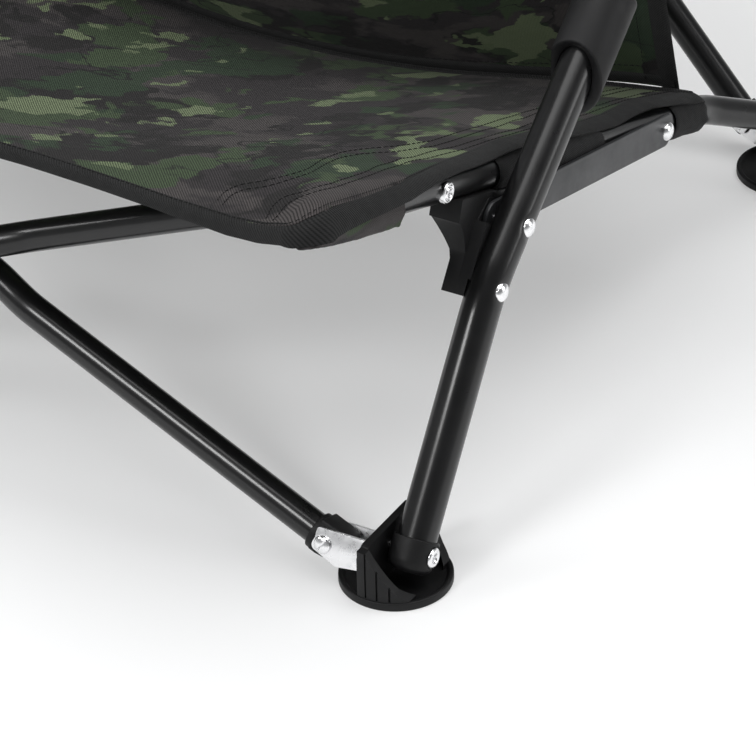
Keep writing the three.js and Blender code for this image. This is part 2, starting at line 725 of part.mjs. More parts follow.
// Seat rail and rear leg
const railCorners = [
  at(RAIL_X, railFront),
  at(RAIL_X, railBend),
  at(LEG_X, rearKnee),
  at(LEG_X, along(rearPivot, rearDir, -TUBE_OVERRUN)),
];
const barInner = RAIL_X + RAIL_D / 2 + BAR_SIDE;
const railTube = hollow(bentPath(railCorners, [RAIL_BEND_R, KNEE_BEND_R]), RAIL_D / 2, RAIL_WALL, LEG_SEGMENTS)
  .subtract(acrossX(holeR, rearPivot, LEG_X - LEG_D, LEG_X + LEG_D))
  .subtract(acrossX(holeR, railEyelet, RAIL_X - RAIL_D, RAIL_X + RAIL_D))
  .subtract(acrossX(domeHole, railRivet, RAIL_X - RAIL_D, RAIL_X + RAIL_D));
addPair("seat_frame", "seat_rail", railTube, blackTube);

// Hollow eyelet on the rail, where the front scissor's upper clip hangs
const eyeFace = RAIL_X + RAIL_D / 2 - EDGE_ROUND;
const eyelet = revolve(
  [
    [0, RAIL_X - RAIL_D / 2 + EDGE_ROUND],
    [PIN_R, RAIL_X - RAIL_D / 2 + EDGE_ROUND],
    [PIN_R, eyeFace],
    [PIN_HEAD_R, eyeFace],
    [PIN_HEAD_R, eyeFace + PIN_HEAD_H],
    [PIN_HEAD_R - PIN_HEAD_H / 2, eyeFace + PIN_HEAD_H + EDGE_ROUND],
    [PIN_BORE_R + EDGE_ROUND, eyeFace + PIN_HEAD_H + EDGE_ROUND],
    [PIN_BORE_R, eyeFace + PIN_HEAD_H],
    [PIN_BORE_R, eyeFace],
    [0, eyeFace],
  ],
  at(0, railEyelet),
  X_DIR,
  HEAD_SEGMENTS,
);
const railRun = bentPath([at(RAIL_X, railFront), at(RAIL_X, railBend)], []);
const railShadow = sweep(railRun, RAIL_D / 2 + GAP, LEG_SEGMENTS);
const headOnly = acrossX(PIN_HEAD_R + END_CUT, railEyelet, eyeFace - GAP, eyeFace + DOME_H);
const eyeShank = acrossX(PIN_R, railEyelet, RAIL_X, eyeFace + EDGE_ROUND + GAP, HEAD_SEGMENTS);
addPair("seat_frame", "rail_eyelet", eyelet.subtract(railShadow.intersect(headOnly)).add(eyeShank), bright);

// Bracket: a cradle under the rail, a gusset and a block riveted to the inner side of the leg
const legFront = leftOf(legDir);
const postFront = leftOf(postDir);
const onLeg = (t, side) => along(along(frontPivot, legDir, t), legFront, side);
const onRail = (t, rise) => along(along(railEyelet, railDir, t), railUp, rise);
const shelfTop = CRADLE - RAIL_D / 2 - GAP;
const tipTop = onRail(SHELF_FRONT, shelfTop);
const tipLow = onRail(SHELF_FRONT, shelfTop - SHELF_T);
const blockLow = onLeg(BLOCK_FOOT, BLOCK_FRONT);
const blockBack = onLeg(BLOCK_FOOT, -BLOCK_BACK);
const gussetLow = onLeg(GUSSET_HIGH, BLOCK_FRONT);
const bracketRear = onRail(SHELF_REAR, shelfTop);
const bracketHeel = along(along(legBend, postDir, DOME_UPPER_PAST_BEND), postFront, -BLOCK_BACK);
const arcPoints = (a, b, bulge, count) => {
  const out = [];
  const across = leftOf(unit(a, b));
  const span = a.distanceTo(b);
  for (let i = 0; i <= count; i++) {
    const t = i / count;
    const p = a.clone().lerp(b, t).addScaledVector(across, bulge * span * 4 * t * (1 - t) * 0.5);
    out.push(p);
  }
  return out;
};
const bracketOutline = [
  tipTop,
  tipLow,
  ...arcPoints(tipLow, gussetLow, GUSSET_BULGE, 6).slice(1),
  blockLow,
  blockBack,
  onLeg(bendAt, -BLOCK_BACK),
  bracketHeel,
  bracketRear,
].map((p) => [p.x, p.y]);
const shelfLine = shelfTop - SHELF_T;
const underShelf = [
  onRail(SHELF_FRONT - SHELF_REAR, shelfLine),
  onRail(2 * SHELF_REAR, shelfLine),
  onRail(2 * SHELF_REAR, -BLOCK_FOOT),
  onRail(SHELF_FRONT - SHELF_REAR, -BLOCK_FOOT),
].map((p) => [p.x, p.y]);
const filletSide = SHELF_FILLET / Math.SQRT2;
const filletRoot = at(0, onRail(0, shelfLine));
const underFillet = slab(
  [
    [-filletSide, -filletSide],
    [filletSide, -filletSide],
    [filletSide, filletSide],
    [-filletSide, filletSide],
  ],
  filletRoot.setX(BLOCK_INNER_X),
  new THREE.Vector3(Math.SQRT1_2, 0, 0).addScaledVector(at(0, railUp), Math.SQRT1_2),
  new THREE.Vector3(-Math.SQRT1_2, 0, 0).addScaledVector(at(0, railUp), Math.SQRT1_2),
  -2 * SHELF_REAR,
  2 * SHELF_REAR,
);
const padFrom = BRACKET_OUTER_X - EDGE_ROUND;
const padTo = LEG_X - LEG_D / 2 - GAP;
const innerNotch = sideSlab(underShelf, BRACKET_INNER_X - END_CUT, BLOCK_INNER_X).subtract(underFillet);
const bracket = sideSlab(bracketOutline, BRACKET_INNER_X, BRACKET_OUTER_X)
  .subtract(innerNotch)
  .add(acrossX(BOSS_PAD_R, domeLower, padFrom, padTo, HOLE_SEGMENTS + 4))
  .subtract(railShadow)
  .subtract(acrossX(domeHole, domeLower, BRACKET_INNER_X - END_CUT, LEG_X))
  .subtract(acrossX(domeHole, domeUpper, BRACKET_INNER_X - END_CUT, LEG_X));
addPair("side_frame", "rail_bracket", bracket, blackPlastic);

// Link bar between leg and rail
const barOutline = [];
const barDir = unit(domeUpper, railRivet);
const barUp = leftOf(barDir);
const barEnd = 8;
for (const [centre, start] of [[domeUpper, Math.PI / 2], [railRivet, -Math.PI / 2]]) {
  for (let k = 0; k <= barEnd; k++) {
    const a = start + (Math.PI * k) / barEnd;
    const p = along(along(centre, barDir, (BAR_W / 2) * Math.cos(a)), barUp, (BAR_W / 2) * Math.sin(a));
    barOutline.push([p.x, p.y]);
  }
}
const bar = sideSlab(barOutline, barInner, barInner + BAR_T)
  .subtract(acrossX(domeHole, domeUpper, RAIL_X, LEG_X))
  .subtract(acrossX(domeHole, railRivet, RAIL_X, LEG_X));
addPair("link", "link_bar", bar, greySteel);

// Dome rivets
function domeRivet(p, seatX, endX) {
  return revolve(
    [
      [0, endX],
      [DOME_SHANK_R, endX],
      [DOME_SHANK_R, seatX],
      [DOME_R, seatX],
      [DOME_R, seatX + DOME_H / 4],
      [DOME_R - DOME_H / 4, seatX + (DOME_H * 3) / 5],
      [DOME_R - (DOME_H * 3) / 4, seatX + (DOME_H * 9) / 10],
      [0, seatX + DOME_H],
    ],
    at(0, p),
    X_DIR,
    HEAD_SEGMENTS,
  );
}
const legShadow = sweep(legPath, LEG_D / 2 + GAP, LEG_SEGMENTS);
const domeSeat = LEG_X + LEG_D / 2 - DOME_SINK;
const shankEnd = BRACKET_OUTER_X - SHANK_INTO_BRACKET;
const underHead = (p) => acrossX(DOME_R + END_CUT, p, domeSeat - GAP, domeSeat + DOME_H);
const domeShank = (p) => acrossX(DOME_SHANK_R, p, shankEnd, domeSeat + DOME_H / 2, HEAD_SEGMENTS);
const legDome = (p) =>
  domeRivet(p, domeSeat, shankEnd).subtract(legShadow.intersect(underHead(p))).add(domeShank(p));
addPair("side_frame", "leg_rivet_lower", legDome(domeLower), bright);
addPair("side_frame", "leg_rivet_upper", legDome(domeUpper), bright);
const barRivet = domeRivet(railRivet, barInner + BAR_T + GAP, RAIL_X - RAIL_D / 2 + EDGE_ROUND);
addPair("link", "bar_rivet", barRivet, bright);

// Collar on the post, cut at a slant below
const collarBlank = revolve(
  [
    [LEG_D / 2 + GAP, COLLAR_LOW],
    [COLLAR_R, COLLAR_LOW],
    [COLLAR_R, COLLAR_TOP - EDGE_ROUND],
    [COLLAR_R - EDGE_ROUND, COLLAR_TOP],
    [LEG_D / 2 + GAP, COLLAR_TOP],
    [LEG_D / 2 + GAP, COLLAR_LOW],
  ],
  at(LEG_X, onPost(0)),
  at(0, postDir),
  LEG_SEGMENTS,
);
const slantLow = along(onPost(COLLAR_LOW), postFront, -COLLAR_R);
const slantHigh = along(onPost(COLLAR_LOW + COLLAR_SLANT), postFront, COLLAR_R);
const slantBelow = along(onPost(COLLAR_LOW - COLLAR_SLANT), postFront, COLLAR_R);
const slantBehind = along(onPost(COLLAR_LOW - COLLAR_SLANT), postFront, -COLLAR_R);
const beyond = (p, q) => along(p, unit(q, p), END_CUT);
const slantCut = sideSlab(
  [slantBehind, beyond(slantLow, slantHigh), beyond(slantHigh, slantLow), beyond(slantBelow, slantBehind)].map((p) => [
    p.x,
    p.y,
  ]),
  LEG_X - LEG_D,
  LEG_X + LEG_D,
);
const collarFlat = sideSlab(
  [
    [LEG_BEND_Y, 0],
    [LEG_BEND_Y + POST_LENGTH, 0],
    [LEG_BEND_Y + POST_LENGTH, POST_LENGTH],
    [LEG_BEND_Y, POST_LENGTH],
  ],
  LEG_X - LEG_D,
  COLLAR_FLAT_X,
);
addPair("side_frame", "post_collar", collarBlank.subtract(slantCut).subtract(collarFlat), blackPlastic);

// Scissors
const sides = [
  ["right", 1, 1],
  ["left", -1, -1],
];
const gripLow = EAR_GAP + SHEET_T;
const gripUp = crossR + GAP + UPPER_SHEET_T;
for (const [where, f, faceX, eyeletN, open] of [
  ["front", frontFrame, RAIL_X - RAIL_D / 2, railEyelet.clone().sub(frontUpper).dot(yz(frontFrame.n.y, frontFrame.n.z)), false],
  ["rear", rearFrame, LEG_X - LEG_D / 2, -POST_CLIP_BACK, true],
]) {
  for (const [side, sign, layer] of sides) {
    const group = `${where}_scissor`;
    const far = side === "right" ? "left" : "right";
    add(group, `cross_tube_${where}_${side}`, crossTube(f, sign, layer, !(open && layer < 0)), blackTube);
    add(group, `cross_plug_${where}_${side}`, plugSolid(f, sign, layer), blackPlastic);
    add(`${where}_foot_${side}`, `foot_clip_${where}_${side}`, clipSolid(f, sign, layer), zinc);
    const lowN = layer * CROSS_SPLIT;
    add(`${where}_foot_${side}`, `clip_rivet_${where}_${side}`, earRivet(f, sign * SCISSOR_HALF, 0, lowN, gripLow, true), bright);
    add(group, `upper_clip_${where}_${far}`, upperClipSolid(f, -sign, layer, faceX, eyeletN), zinc);
    add(group, `upper_rivet_${where}_${far}`, earRivet(f, -sign * SCISSOR_HALF, f.rise, lowN, gripUp, false), bright);
  }
  add(`${where}_scissor`, `centre_rivet_${where}`, centreRivet(f, !open), bright);
}

// Cloth: a sheet over a grid of points with a thickness along each point's own normal
function clothSolid(point, normal, columns, rows) {
  const grid = (lift) => {
    const out = [];
    for (let j = 0; j <= rows; j++) {
      for (let i = 0; i <= columns; i++) {
        const p = point(i / columns, j / rows);
        out.push(p.addScaledVector(normal(i / columns, j / rows), lift));
      }
    }
    return out;
  };
  const top = grid(0);
  const low = grid(-CLOTH_T);
  const corners = [];
  const quad = (a, b, c, d) => corners.push(a, b, c, a, c, d);
  const id = (i, j) => j * (columns + 1) + i;
  for (let j = 0; j < rows; j++) {
    for (let i = 0; i < columns; i++) {
      const k = [id(i, j), id(i + 1, j), id(i + 1, j + 1), id(i, j + 1)];
      quad(...k.map((n) => top[n]));
      quad(...k.reverse().map((n) => low[n]));
    }
  }
  const edge = (a, b) => quad(top[b], top[a], low[a], low[b]);
  for (let i = 0; i < columns; i++) {
    edge(id(i, 0), id(i + 1, 0));
    edge(id(i + 1, rows), id(i, rows));
  }
  for (let j = 0; j < rows; j++) {
    edge(id(0, j + 1), id(0, j));
    edge(id(columns, j), id(columns, j + 1));
  }
  const flat = new Float32Array(corners.length * 3);
  corners.forEach((p, i) => p.toArray(flat, 3 * i));
  const g = new THREE.BufferGeometry();
  g.setAttribute("position", new THREE.BufferAttribute(flat, 3));
  const solid = toSolid(g);
  return solid.volume() < 0 ? toSolid(flipped(g)) : solid;
}

const CLOTH_COLUMNS = 16;
const SEAT_ROWS = 5;
const BACK_ROWS = 12;
const bowl = (x, half) => Math.max(0, 1 - (x / half) ** 2);

// Seat: a sling from rail to rail with a scooped front edge and three sleeves on each rail
const seatTop = RAIL_D / 2 + GAP + SLEEVE_T;
const seatX = (a) => (2 * a - 1) * RAIL_X;
function seatPoint(a, b) {
  const x = seatX(a);
  const from = -SEAT_FRONT + SEAT_SCOOP * bowl(x, RAIL_X);
  const t = from + (SEAT_REAR - from) * b;
  return at(x, onRail(t, seatTop - SEAT_SAG * bowl(x, RAIL_X) ** SEAT_SAG_SHARPNESS));
}
const seatNormal = at(0, railUp);
const sleeveOf = (x, a, b, dir, r) =>
  revolve([[0, 0], [r, 0], [r, a.distanceTo(b)], [0, a.distanceTo(b)]], at(x, a), at(0, dir), LEG_SEGMENTS);
let seat = clothSolid(seatPoint, () => seatNormal.clone(), CLOTH_COLUMNS, SEAT_ROWS);
for (const s of [1, -1]) {
  const sleeve = sleeveOf(s * RAIL_X, onRail(-SEAT_FRONT, 0), onRail(SEAT_REAR, 0), railDir, seatTop);
  seat = seat.add(sleeve);
}
for (const s of [1, -1]) {
  const bore = sleeveOf(
    s * RAIL_X,
    onRail(-RAIL_FRONT_RUN - GAP, 0),
    onRail(SEAT_REAR + END_CUT, 0),
    railDir,
    RAIL_D / 2 + GAP,
  );
  seat = seat.subtract(bore);
  for (const [from, to] of [TAB_GAP_FRONT, TAB_GAP_REAR]) {
    const deep = seatTop + END_CUT;
    const edgeX = RAIL_X - TAB_INSET;
    const steps = 6;
    const outline = [[from, RAIL_X + 2 * RAIL_D]];
    for (let k = 0; k <= steps; k++) {
      outline.push([from + ((to - from) * k) / steps, edgeX - SCALLOP * 4 * (k / steps) * (1 - k / steps)]);
    }
    outline.push([to, RAIL_X + 2 * RAIL_D]);
    const cut = slab(
      outline.map(([t, x]) => [t, s * x]),
      at(0, railEyelet),
      at(0, railDir),
      X_DIR,
      -deep,
      deep,
    );
    seat = seat.subtract(cut);
  }
}
add("slings", "seat_sling", seat, camouflage);

// Back: a sling that rises from the seat's rear edge, folds between the posts and is sleeved over them
const postTopOut = LEG_D / 2 + GAP + SLEEVE_T;
const FOLD_ROWS = 5;
const LOW_ROWS = 3;
const backHalf = (low) => LEG_X - (LEG_X - BACK_LOW_HALF) * low;
const backTop = POST_LENGTH + BACK_TOP_OVER;
function backRow(a, b) {
  const share = bowl(2 * a - 1, 1);
  const sag = share ** BACK_SAG_SHARPNESS;
  const start = onRail(SEAT_REAR + GAP, seatTop - SEAT_SAG * share ** SEAT_SAG_SHARPNESS);
  const lift = postTopOut - BACK_SAG * sag;
  const corner = along(onPost(BACK_SLEEVE_FROM), postFront, lift);
  const end = along(onPost(backTop), postFront, lift);
  const w = BACK_FOLD_EDGE + BACK_FOLD_MIDDLE * share;
  const foldIn = corner.clone().lerp(start, w);
  const foldOut = corner.clone().lerp(end, w / 2);
  const row = b * BACK_ROWS;
  if (row <= LOW_ROWS) {
    return { p: start.clone().lerp(foldIn, row / LOW_ROWS), d: unit(start, foldIn) };
  }
  if (row <= LOW_ROWS + FOLD_ROWS) {
    const curve = new THREE.QuadraticBezierCurve(foldIn, corner, foldOut);
    const t = (row - LOW_ROWS) / FOLD_ROWS;
    return { p: curve.getPoint(t), d: curve.getTangent(t) };
  }
  const t = (row - LOW_ROWS - FOLD_ROWS) / (BACK_ROWS - LOW_ROWS - FOLD_ROWS);
  return { p: foldOut.clone().lerp(end, t), d: unit(foldOut, end) };
}
function backPoint(a, b) {
  const { p } = backRow(a, b);
  const low = Math.max(0, 1 - (b * BACK_ROWS) / (LOW_ROWS + FOLD_ROWS / 2));
  return at((2 * a - 1) * backHalf(low), p);
}
let back = clothSolid(backPoint, (a, b) => at(0, leftOf(backRow(a, b).d)), CLOTH_COLUMNS, BACK_ROWS);
for (const s of [1, -1]) {
  back = back.add(sleeveOf(s * LEG_X, onPost(BACK_SLEEVE_FROM), onPost(backTop), postDir, postTopOut));
}
for (const s of [1, -1]) {
  const from = onPost(BACK_SLEEVE_FROM - LEG_D);
  back = back.subtract(sleeveOf(s * LEG_X, from, onPost(POST_LENGTH + GAP), postDir, LEG_D / 2 + GAP));
  const window = slab(
    [
      [POST_EYELET_AT - EYELET_WINDOW, LEG_X - WINDOW_REACH],
      [POST_EYELET_AT + EYELET_WINDOW, LEG_X - WINDOW_REACH],
      [POST_EYELET_AT + EYELET_WINDOW, LEG_X],
      [POST_EYELET_AT - EYELET_WINDOW, LEG_X],
    ].map(([t, x]) => [t, s * x]),
    at(0, onPost(0)),
    at(0, postDir),
    X_DIR,
    -postTopOut - END_CUT,
    postTopOut + END_CUT,
  );
  back = back.subtract(window);
}
add("slings", "back_sling", back, camouflage);

// The origin stands on the floor in the middle of the whole chair's outline
const box = new THREE.Box3().setFromObject(chair);
for (const group of Object.values(groups)) group.position.set(0, -(box.min.y + box.max.y) / 2, -box.min.z);

export default chair;
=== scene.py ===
import math
import bmesh
import bpy
import numpy as np
from mathutils import Matrix, Vector, noise


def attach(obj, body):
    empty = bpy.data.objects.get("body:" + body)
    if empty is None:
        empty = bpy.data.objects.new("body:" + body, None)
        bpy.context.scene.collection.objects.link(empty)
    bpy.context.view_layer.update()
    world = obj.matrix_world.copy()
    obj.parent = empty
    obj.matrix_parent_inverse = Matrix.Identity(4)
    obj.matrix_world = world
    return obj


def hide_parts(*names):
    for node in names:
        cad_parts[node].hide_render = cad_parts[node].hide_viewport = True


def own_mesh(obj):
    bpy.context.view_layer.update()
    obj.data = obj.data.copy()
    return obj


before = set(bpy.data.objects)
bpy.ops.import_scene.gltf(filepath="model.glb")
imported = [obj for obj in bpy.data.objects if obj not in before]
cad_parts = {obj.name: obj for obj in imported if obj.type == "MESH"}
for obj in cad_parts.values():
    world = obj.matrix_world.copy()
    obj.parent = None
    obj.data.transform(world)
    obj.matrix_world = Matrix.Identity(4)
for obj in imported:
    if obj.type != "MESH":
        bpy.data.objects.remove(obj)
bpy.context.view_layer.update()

# Lengths are in millimetres of the design frame: X across, Y rearwards, Z up. Its Y starts
# at the pivots of the front feet, and that of the CAD frame in the middle of the chair.
SHIFT_Y = -272.3685302734
MM = 1000.0

LEG_X, RAIL_X, FOOT_X, SCISSOR_HALF = 310.0, 285.0, 299.0, 265.0
PIVOT_Z, REAR_Y, GAP = 21.0, 498.0, 0.3
LEG_R, RAIL_R, CROSS_R = 11.0, 9.0, 9.0
POST_LENGTH, POST_LEAN = 807.0, math.radians(51)
LAYER = 3.0  # each scissor tube's distance from the scissor's own plane
CLIP_OUT = 13.0  # the lower clips' distance from the foot pivots, along Y
EYELET_BACK = 20.0  # the rear scissor's plane lies this far from the post eyelets
SIDES = (("right", 1), ("left", -1))


def vec(*v):
    return np.array(v, float)


def unit(v):
    v = np.asarray(v, float)
    return v / np.linalg.norm(v)


ORIGIN, X_DIR, Y_DIR, Z_DIR = vec(0, 0, 0), vec(1, 0, 0), vec(0, 1, 0), vec(0, 0, 1)


def yz(x, p):
    return vec(x, p[0], p[1])


def left_of(d):
    return vec(-d[1], d[0])


def angle_between(a, b):
    cosine = float(a @ b) / float(np.linalg.norm(a) * np.linalg.norm(b))
    return math.acos(max(-1, min(1, cosine)))


def quadratic(p, b, q, t):
    """A point of the curve from p to q that bends towards b."""
    return (1 - t) ** 2 * p + 2 * t * (1 - t) * b + t * t * q


def run_along(points):
    """The length along a line of points up to each of them."""
    return np.concatenate([[0], np.cumsum(np.linalg.norm(np.diff(points, axis=0), axis=1))])


front_pivot = vec(0, PIVOT_Z)
leg_bend = vec(84, 143)
leg_dir = unit(leg_bend - front_pivot)
leg_front = left_of(leg_dir)
post_dir = vec(math.sin(POST_LEAN), math.cos(POST_LEAN))
post_front = left_of(post_dir)
BEND_AT = float(np.linalg.norm(leg_bend - front_pivot))


def on_leg(g, off=0.0):
    return front_pivot + g * leg_dir + off * leg_front


def on_post(g, off=0.0):
    return leg_bend + (g - BEND_AT) * post_dir + off * post_front


dome_lower = on_leg(148)
dome_upper = leg_bend + 39 * post_dir
post_eyelet = on_post(780)

rail_eyelet = vec(69, 206)
rail_rivet = vec(324, 117)
rail_dir = unit(rail_rivet - rail_eyelet)
rail_up = left_of(rail_dir)
along_rail, across_rail = yz(0, rail_dir), yz(0, rail_up)
along_post, across_post = yz(0, post_dir), yz(0, post_front)


def on_rail(s, h=0.0):
    return rail_eyelet + s * rail_dir + h * rail_up


rear_pivot = vec(REAR_Y, PIVOT_Z)
rear_knee = vec(470, PIVOT_Z + 35)
rear_dir = unit(rear_knee - rear_pivot)


def scissor(lower, lean, rise):
    """The plane of a pair of crossed tubes: origin, direction up the plane, normal and sizes."""
    return {
        "o": yz(0, lower),
        "u": vec(0, math.sin(lean), math.cos(lean)),
        "n": vec(0, math.cos(lean), -math.sin(lean)),
        "rise": rise,
        "length": math.hypot(2 * SCISSOR_HALF, rise),
    }


front_lower, front_upper = vec(-CLIP_OUT, PIVOT_Z), vec(49, 211)
front_line = front_upper - front_lower
front_scissor = scissor(front_lower, math.atan2(*front_line), float(np.linalg.norm(front_line)))
rear_lower = vec(REAR_Y + CLIP_OUT, PIVOT_Z)
to_eyelet = post_eyelet - rear_lower
to_length = float(np.linalg.norm(to_eyelet))
rear_scissor = scissor(
    rear_lower,
    math.atan2(*to_eyelet) + math.asin(EYELET_BACK / to_length),
    math.sqrt(to_length**2 - EYELET_BACK**2),
)


def place_in(f, x, u, n):
    return f["o"] + x * X_DIR + u * f["u"] + n * f["n"]


# Mesh tools. A shape is a pair of vertices, in millimetres of the design frame, and faces.
def in_scene(name, data):
    obj = bpy.data.objects.new(name, data)
    bpy.context.scene.collection.objects.link(obj)
    return obj


def new_object(name, verts, faces):
    pts = (np.asarray(verts, float) + vec(0, SHIFT_Y, 0)) / MM
    mesh = bpy.data.meshes.new(name)
    mesh.from_pydata([tuple(p) for p in pts], [], [tuple(int(i) for i in f) for f in faces])
    mesh.validate()
    mesh.update()
    return in_scene(name, mesh)


def outward(obj):
    bm = bmesh.new()
    bm.from_mesh(obj.data)
    bmesh.ops.recalc_face_normals(bm, faces=bm.faces[:])
    bm.to_mesh(obj.data)
    bm.free()


def solid(name, shape):
    obj = new_object(name, *shape)
    outward(obj)
    return obj


def baked(obj):
    """Applies the object's modifiers."""
    graph = bpy.context.evaluated_depsgraph_get()
    mesh = bpy.data.meshes.new_from_object(obj.evaluated_get(graph))
    old = obj.data
    obj.modifiers.clear()
    obj.data = mesh
    bpy.data.meshes.remove(old)


def drop(obj):
    mesh = obj.data
    bpy.data.objects.remove(obj)
    bpy.data.meshes.remove(mesh)


def boolean(obj, tool, how="DIFFERENCE"):
    """Cuts the object with a shape or with another object, or unites them."""
    if isinstance(tool, tuple):
        tool = solid("tool", tool)
    m = obj.modifiers.new("shape", "BOOLEAN")
    m.operation = how
    m.solver = "EXACT"
    m.object = tool
    baked(obj)
    drop(tool)


def taken(obj):
    """The object's shape in the design frame. The object itself goes."""
    pts = np.array([tuple(v.co) for v in obj.data.vertices]) * MM - vec(0, SHIFT_Y, 0)
    faces = [list(p.vertices) for p in obj.data.polygons]
    drop(obj)
    return pts, faces


def bevelled(obj, width, segments, angle):
    """The object's shape with its edges rounded. The object itself goes."""
    m = obj.modifiers.new("edges", "BEVEL")
    m.width = width / MM
    m.segments = segments
    m.limit_method = "ANGLE"
    m.angle_limit = math.radians(angle)
    m.use_clamp_overlap = True
    m.miter_outer = "MITER_ARC"
    baked(obj)
    return taken(obj)


def mirrored(shape, axis=0):
    verts, faces = shape
    out = np.array(verts, float)
    out[:, axis] *= -1
    return out, [list(reversed(f)) for f in faces]


def moved(shape, by):
    return shape[0] + by, shape[1]


def joined(*shapes):
    verts, faces, base = [], [], 0
    for v, f in shapes:
        verts.append(np.asarray(v, float))
        faces.extend([[i + base for i in face] for face in f])
        base += len(v)
    return np.concatenate(verts), faces


def grid_faces(rows, cols, around=False, base=0):
    """The quads of a grid of vertices. Around closes each row on itself."""
    faces = []
    for j in range(rows - 1):
        for i in range(cols if around else cols - 1):
            low, n = base + j * cols, (i + 1) % cols
            faces.append([low + i, low + n, low + cols + n, low + cols + i])
    return faces


def lathe(profile, origin, direction, segments=48, closed=False):
    """A body of revolution from a list of (radius, height) points."""
    d = unit(direction)
    a = unit(np.cross(X_DIR if abs(d[0]) < 0.9 else Z_DIR, d))
    b = np.cross(d, a)
    verts, faces, rings = [], [], []
    for r, h in profile:
        count = segments if r > 1e-6 else 1
        rings.append(range(len(verts), len(verts) + count))
        for k in range(count):
            t = 2 * math.pi * k / segments
            verts.append(origin + h * d + r * (math.cos(t) * a + math.sin(t) * b))
    for low, high in zip(rings, rings[1:] + (rings[:1] if closed else [])):
        for k in range(segments if len(low) + len(high) > 2 else 0):
            n = (k + 1) % segments
            if len(low) == 1:
                faces.append([low[0], high[n], high[k]])
            elif len(high) == 1:
                faces.append([low[k], low[n], high[0]])
            else:
                faces.append([low[k], low[n], high[n], high[k]])
    return np.array(verts), faces


def rod(radius, start, end, origin, direction, segments):
    return lathe([(0, start), (radius, start), (radius, end), (0, end)], origin, direction, segments)


def rounded(profile, radius, steps):
    """The profile with each inner corner turned into a small arc."""
    pts = [vec(*p) for p in profile]
    out = [pts[0]]
    for a, b, c in zip(pts, pts[1:], pts[2:]):
        la, lc = np.linalg.norm(a - b), np.linalg.norm(c - b)
        reach = min(radius, la * 0.45, lc * 0.45)
        p, q = b + (a - b) / la * reach, b + (c - b) / lc * reach
        out += [quadratic(p, b, q, k / steps) for k in range(steps + 1)]
    out.append(pts[-1])
    return [tuple(p) for p in out]


def soft_polygon(points, radius, steps):
    """A closed outline with its corners rounded, each by its own radius."""
    pts = [vec(*p) for p in points]
    out = []
    for i, (b, r) in enumerate(zip(pts, radius)):
        if r <= 0:
            out.append(b)
            continue
        a, c = pts[i - 1], pts[(i + 1) % len(pts)]
        la, lc = np.linalg.norm(a - b), np.linalg.norm(c - b)
        half = angle_between(a - b, c - b) / 2
        reach = min(r / math.tan(half), la * 0.48, lc * 0.48)
        p, q = b + (a - b) / la * reach, b + (c - b) / lc * reach
        for k in range(steps + 1):
            t = k / steps
            d0, d1, d2 = (1 - t) ** 2, 2 * t * (1 - t) * math.sin(half), t * t
            out.append((d0 * p + d1 * b + d2 * q) / (d0 + d1 + d2))
    return [tuple(p) for p in out]


def rectangle(x0, y0, x1, y1):
    return [(x0, y0), (x1, y0), (x1, y1), (x0, y1)]


def prism(outline, origin, right, up, start, end):
    """A flat outline pushed along right x up."""
    out = np.cross(right, up)
    n = len(outline)
    low = [origin + a * right + b * up + start * out for a, b in outline]
    high = [origin + a * right + b * up + end * out for a, b in outline]
    faces = [list(range(n))[::-1], list(range(n, 2 * n))]
    faces += [[i, (i + 1) % n, n + (i + 1) % n, n + i] for i in range(n)]
    return np.array(low + high), faces


def side_prism(outline, x0, x1):
    return prism([tuple(p) for p in outline], ORIGIN, Y_DIR, Z_DIR, x0, x1)


def denser(pts, tans, step, near=None, reach=0.0):
    """More stations along a path, everywhere or only within reach of a point."""
    out_p, out_t = [pts[0]], [tans[0]]
    for p, q, t0, t1 in zip(pts[:-1], pts[1:], tans[:-1], tans[1:]):
        length = float(np.linalg.norm(q - p))
        count = max(1, math.ceil(length / step) if near is None else int(length / step))
        for k in range(1, count + 1):
            x = p + (q - p) * (k / count)
            if near is None or k == count or np.linalg.norm(x - near) < reach:
                out_p.append(x)
                out_t.append(unit(t0 + (t1 - t0) * (k / count)))
    return out_p, out_t


def bent_path(corners, radii, arc_step):
    """Straight runs and arcs as a list of points and tangents."""
    pts, tans = [corners[0]], [unit(corners[1] - corners[0])]
    for a, b, c, r in zip(corners, corners[1:], corners[2:], radii):
        d0, d1 = unit(b - a), unit(c - b)
        turn = angle_between(d0, d1)
        start = b - d0 * r * math.tan(turn / 2)
        side = unit(d1 - d0 * math.cos(turn))
        count = max(4, int(math.degrees(turn) / arc_step))
        for k in range(count + 1):
            t = turn * k / count
            pts.append(start + d0 * r * math.sin(t) + side * r * (1 - math.cos(t)))
            tans.append(unit(d0 * math.cos(t) + side * math.sin(t)))
    pts.append(corners[-1])
    tans.append(unit(corners[-1] - corners[-2]))
    return denser(pts, tans, 60)


def sweep(pts, tans, radius, segments):
    """A closed tube along a path. The radius is a number, or a list with one for each point."""
    t = tans[0]
    ref = X_DIR if abs(t[0]) < 0.9 else Y_DIR
    a = unit(ref - t * float(ref @ t))
    verts = []
    for p, t, r in zip(pts, tans, np.broadcast_to(radius, len(pts))):
        a = unit(a - t * float(a @ t))
        b = np.cross(t, a)
        for k in range(segments):
            w = 2 * math.pi * k / segments
            verts.append(p + r * (math.cos(w) * a + math.sin(w) * b))
    faces = grid_faces(len(pts), segments, around=True)
    for first, sign in ((0, -1), ((len(pts) - 1) * segments, 1)):
        centre = len(verts)
        verts.append(np.mean(verts[first : first + segments], axis=0))
        for k in range(segments):
            faces.append([first + k, first + (k + 1) % segments, centre][::sign])
    return np.array(verts), faces


# Material tools
def feed(tree, socket, value):
    """Links the input to an output, or gives it a number, a vector or a colour."""
    if isinstance(value, bpy.types.NodeSocket):
        tree.links.new(value, socket)
    elif socket.type == "RGBA":
        socket.default_value = (*value, 1)
    else:
        socket.default_value = value


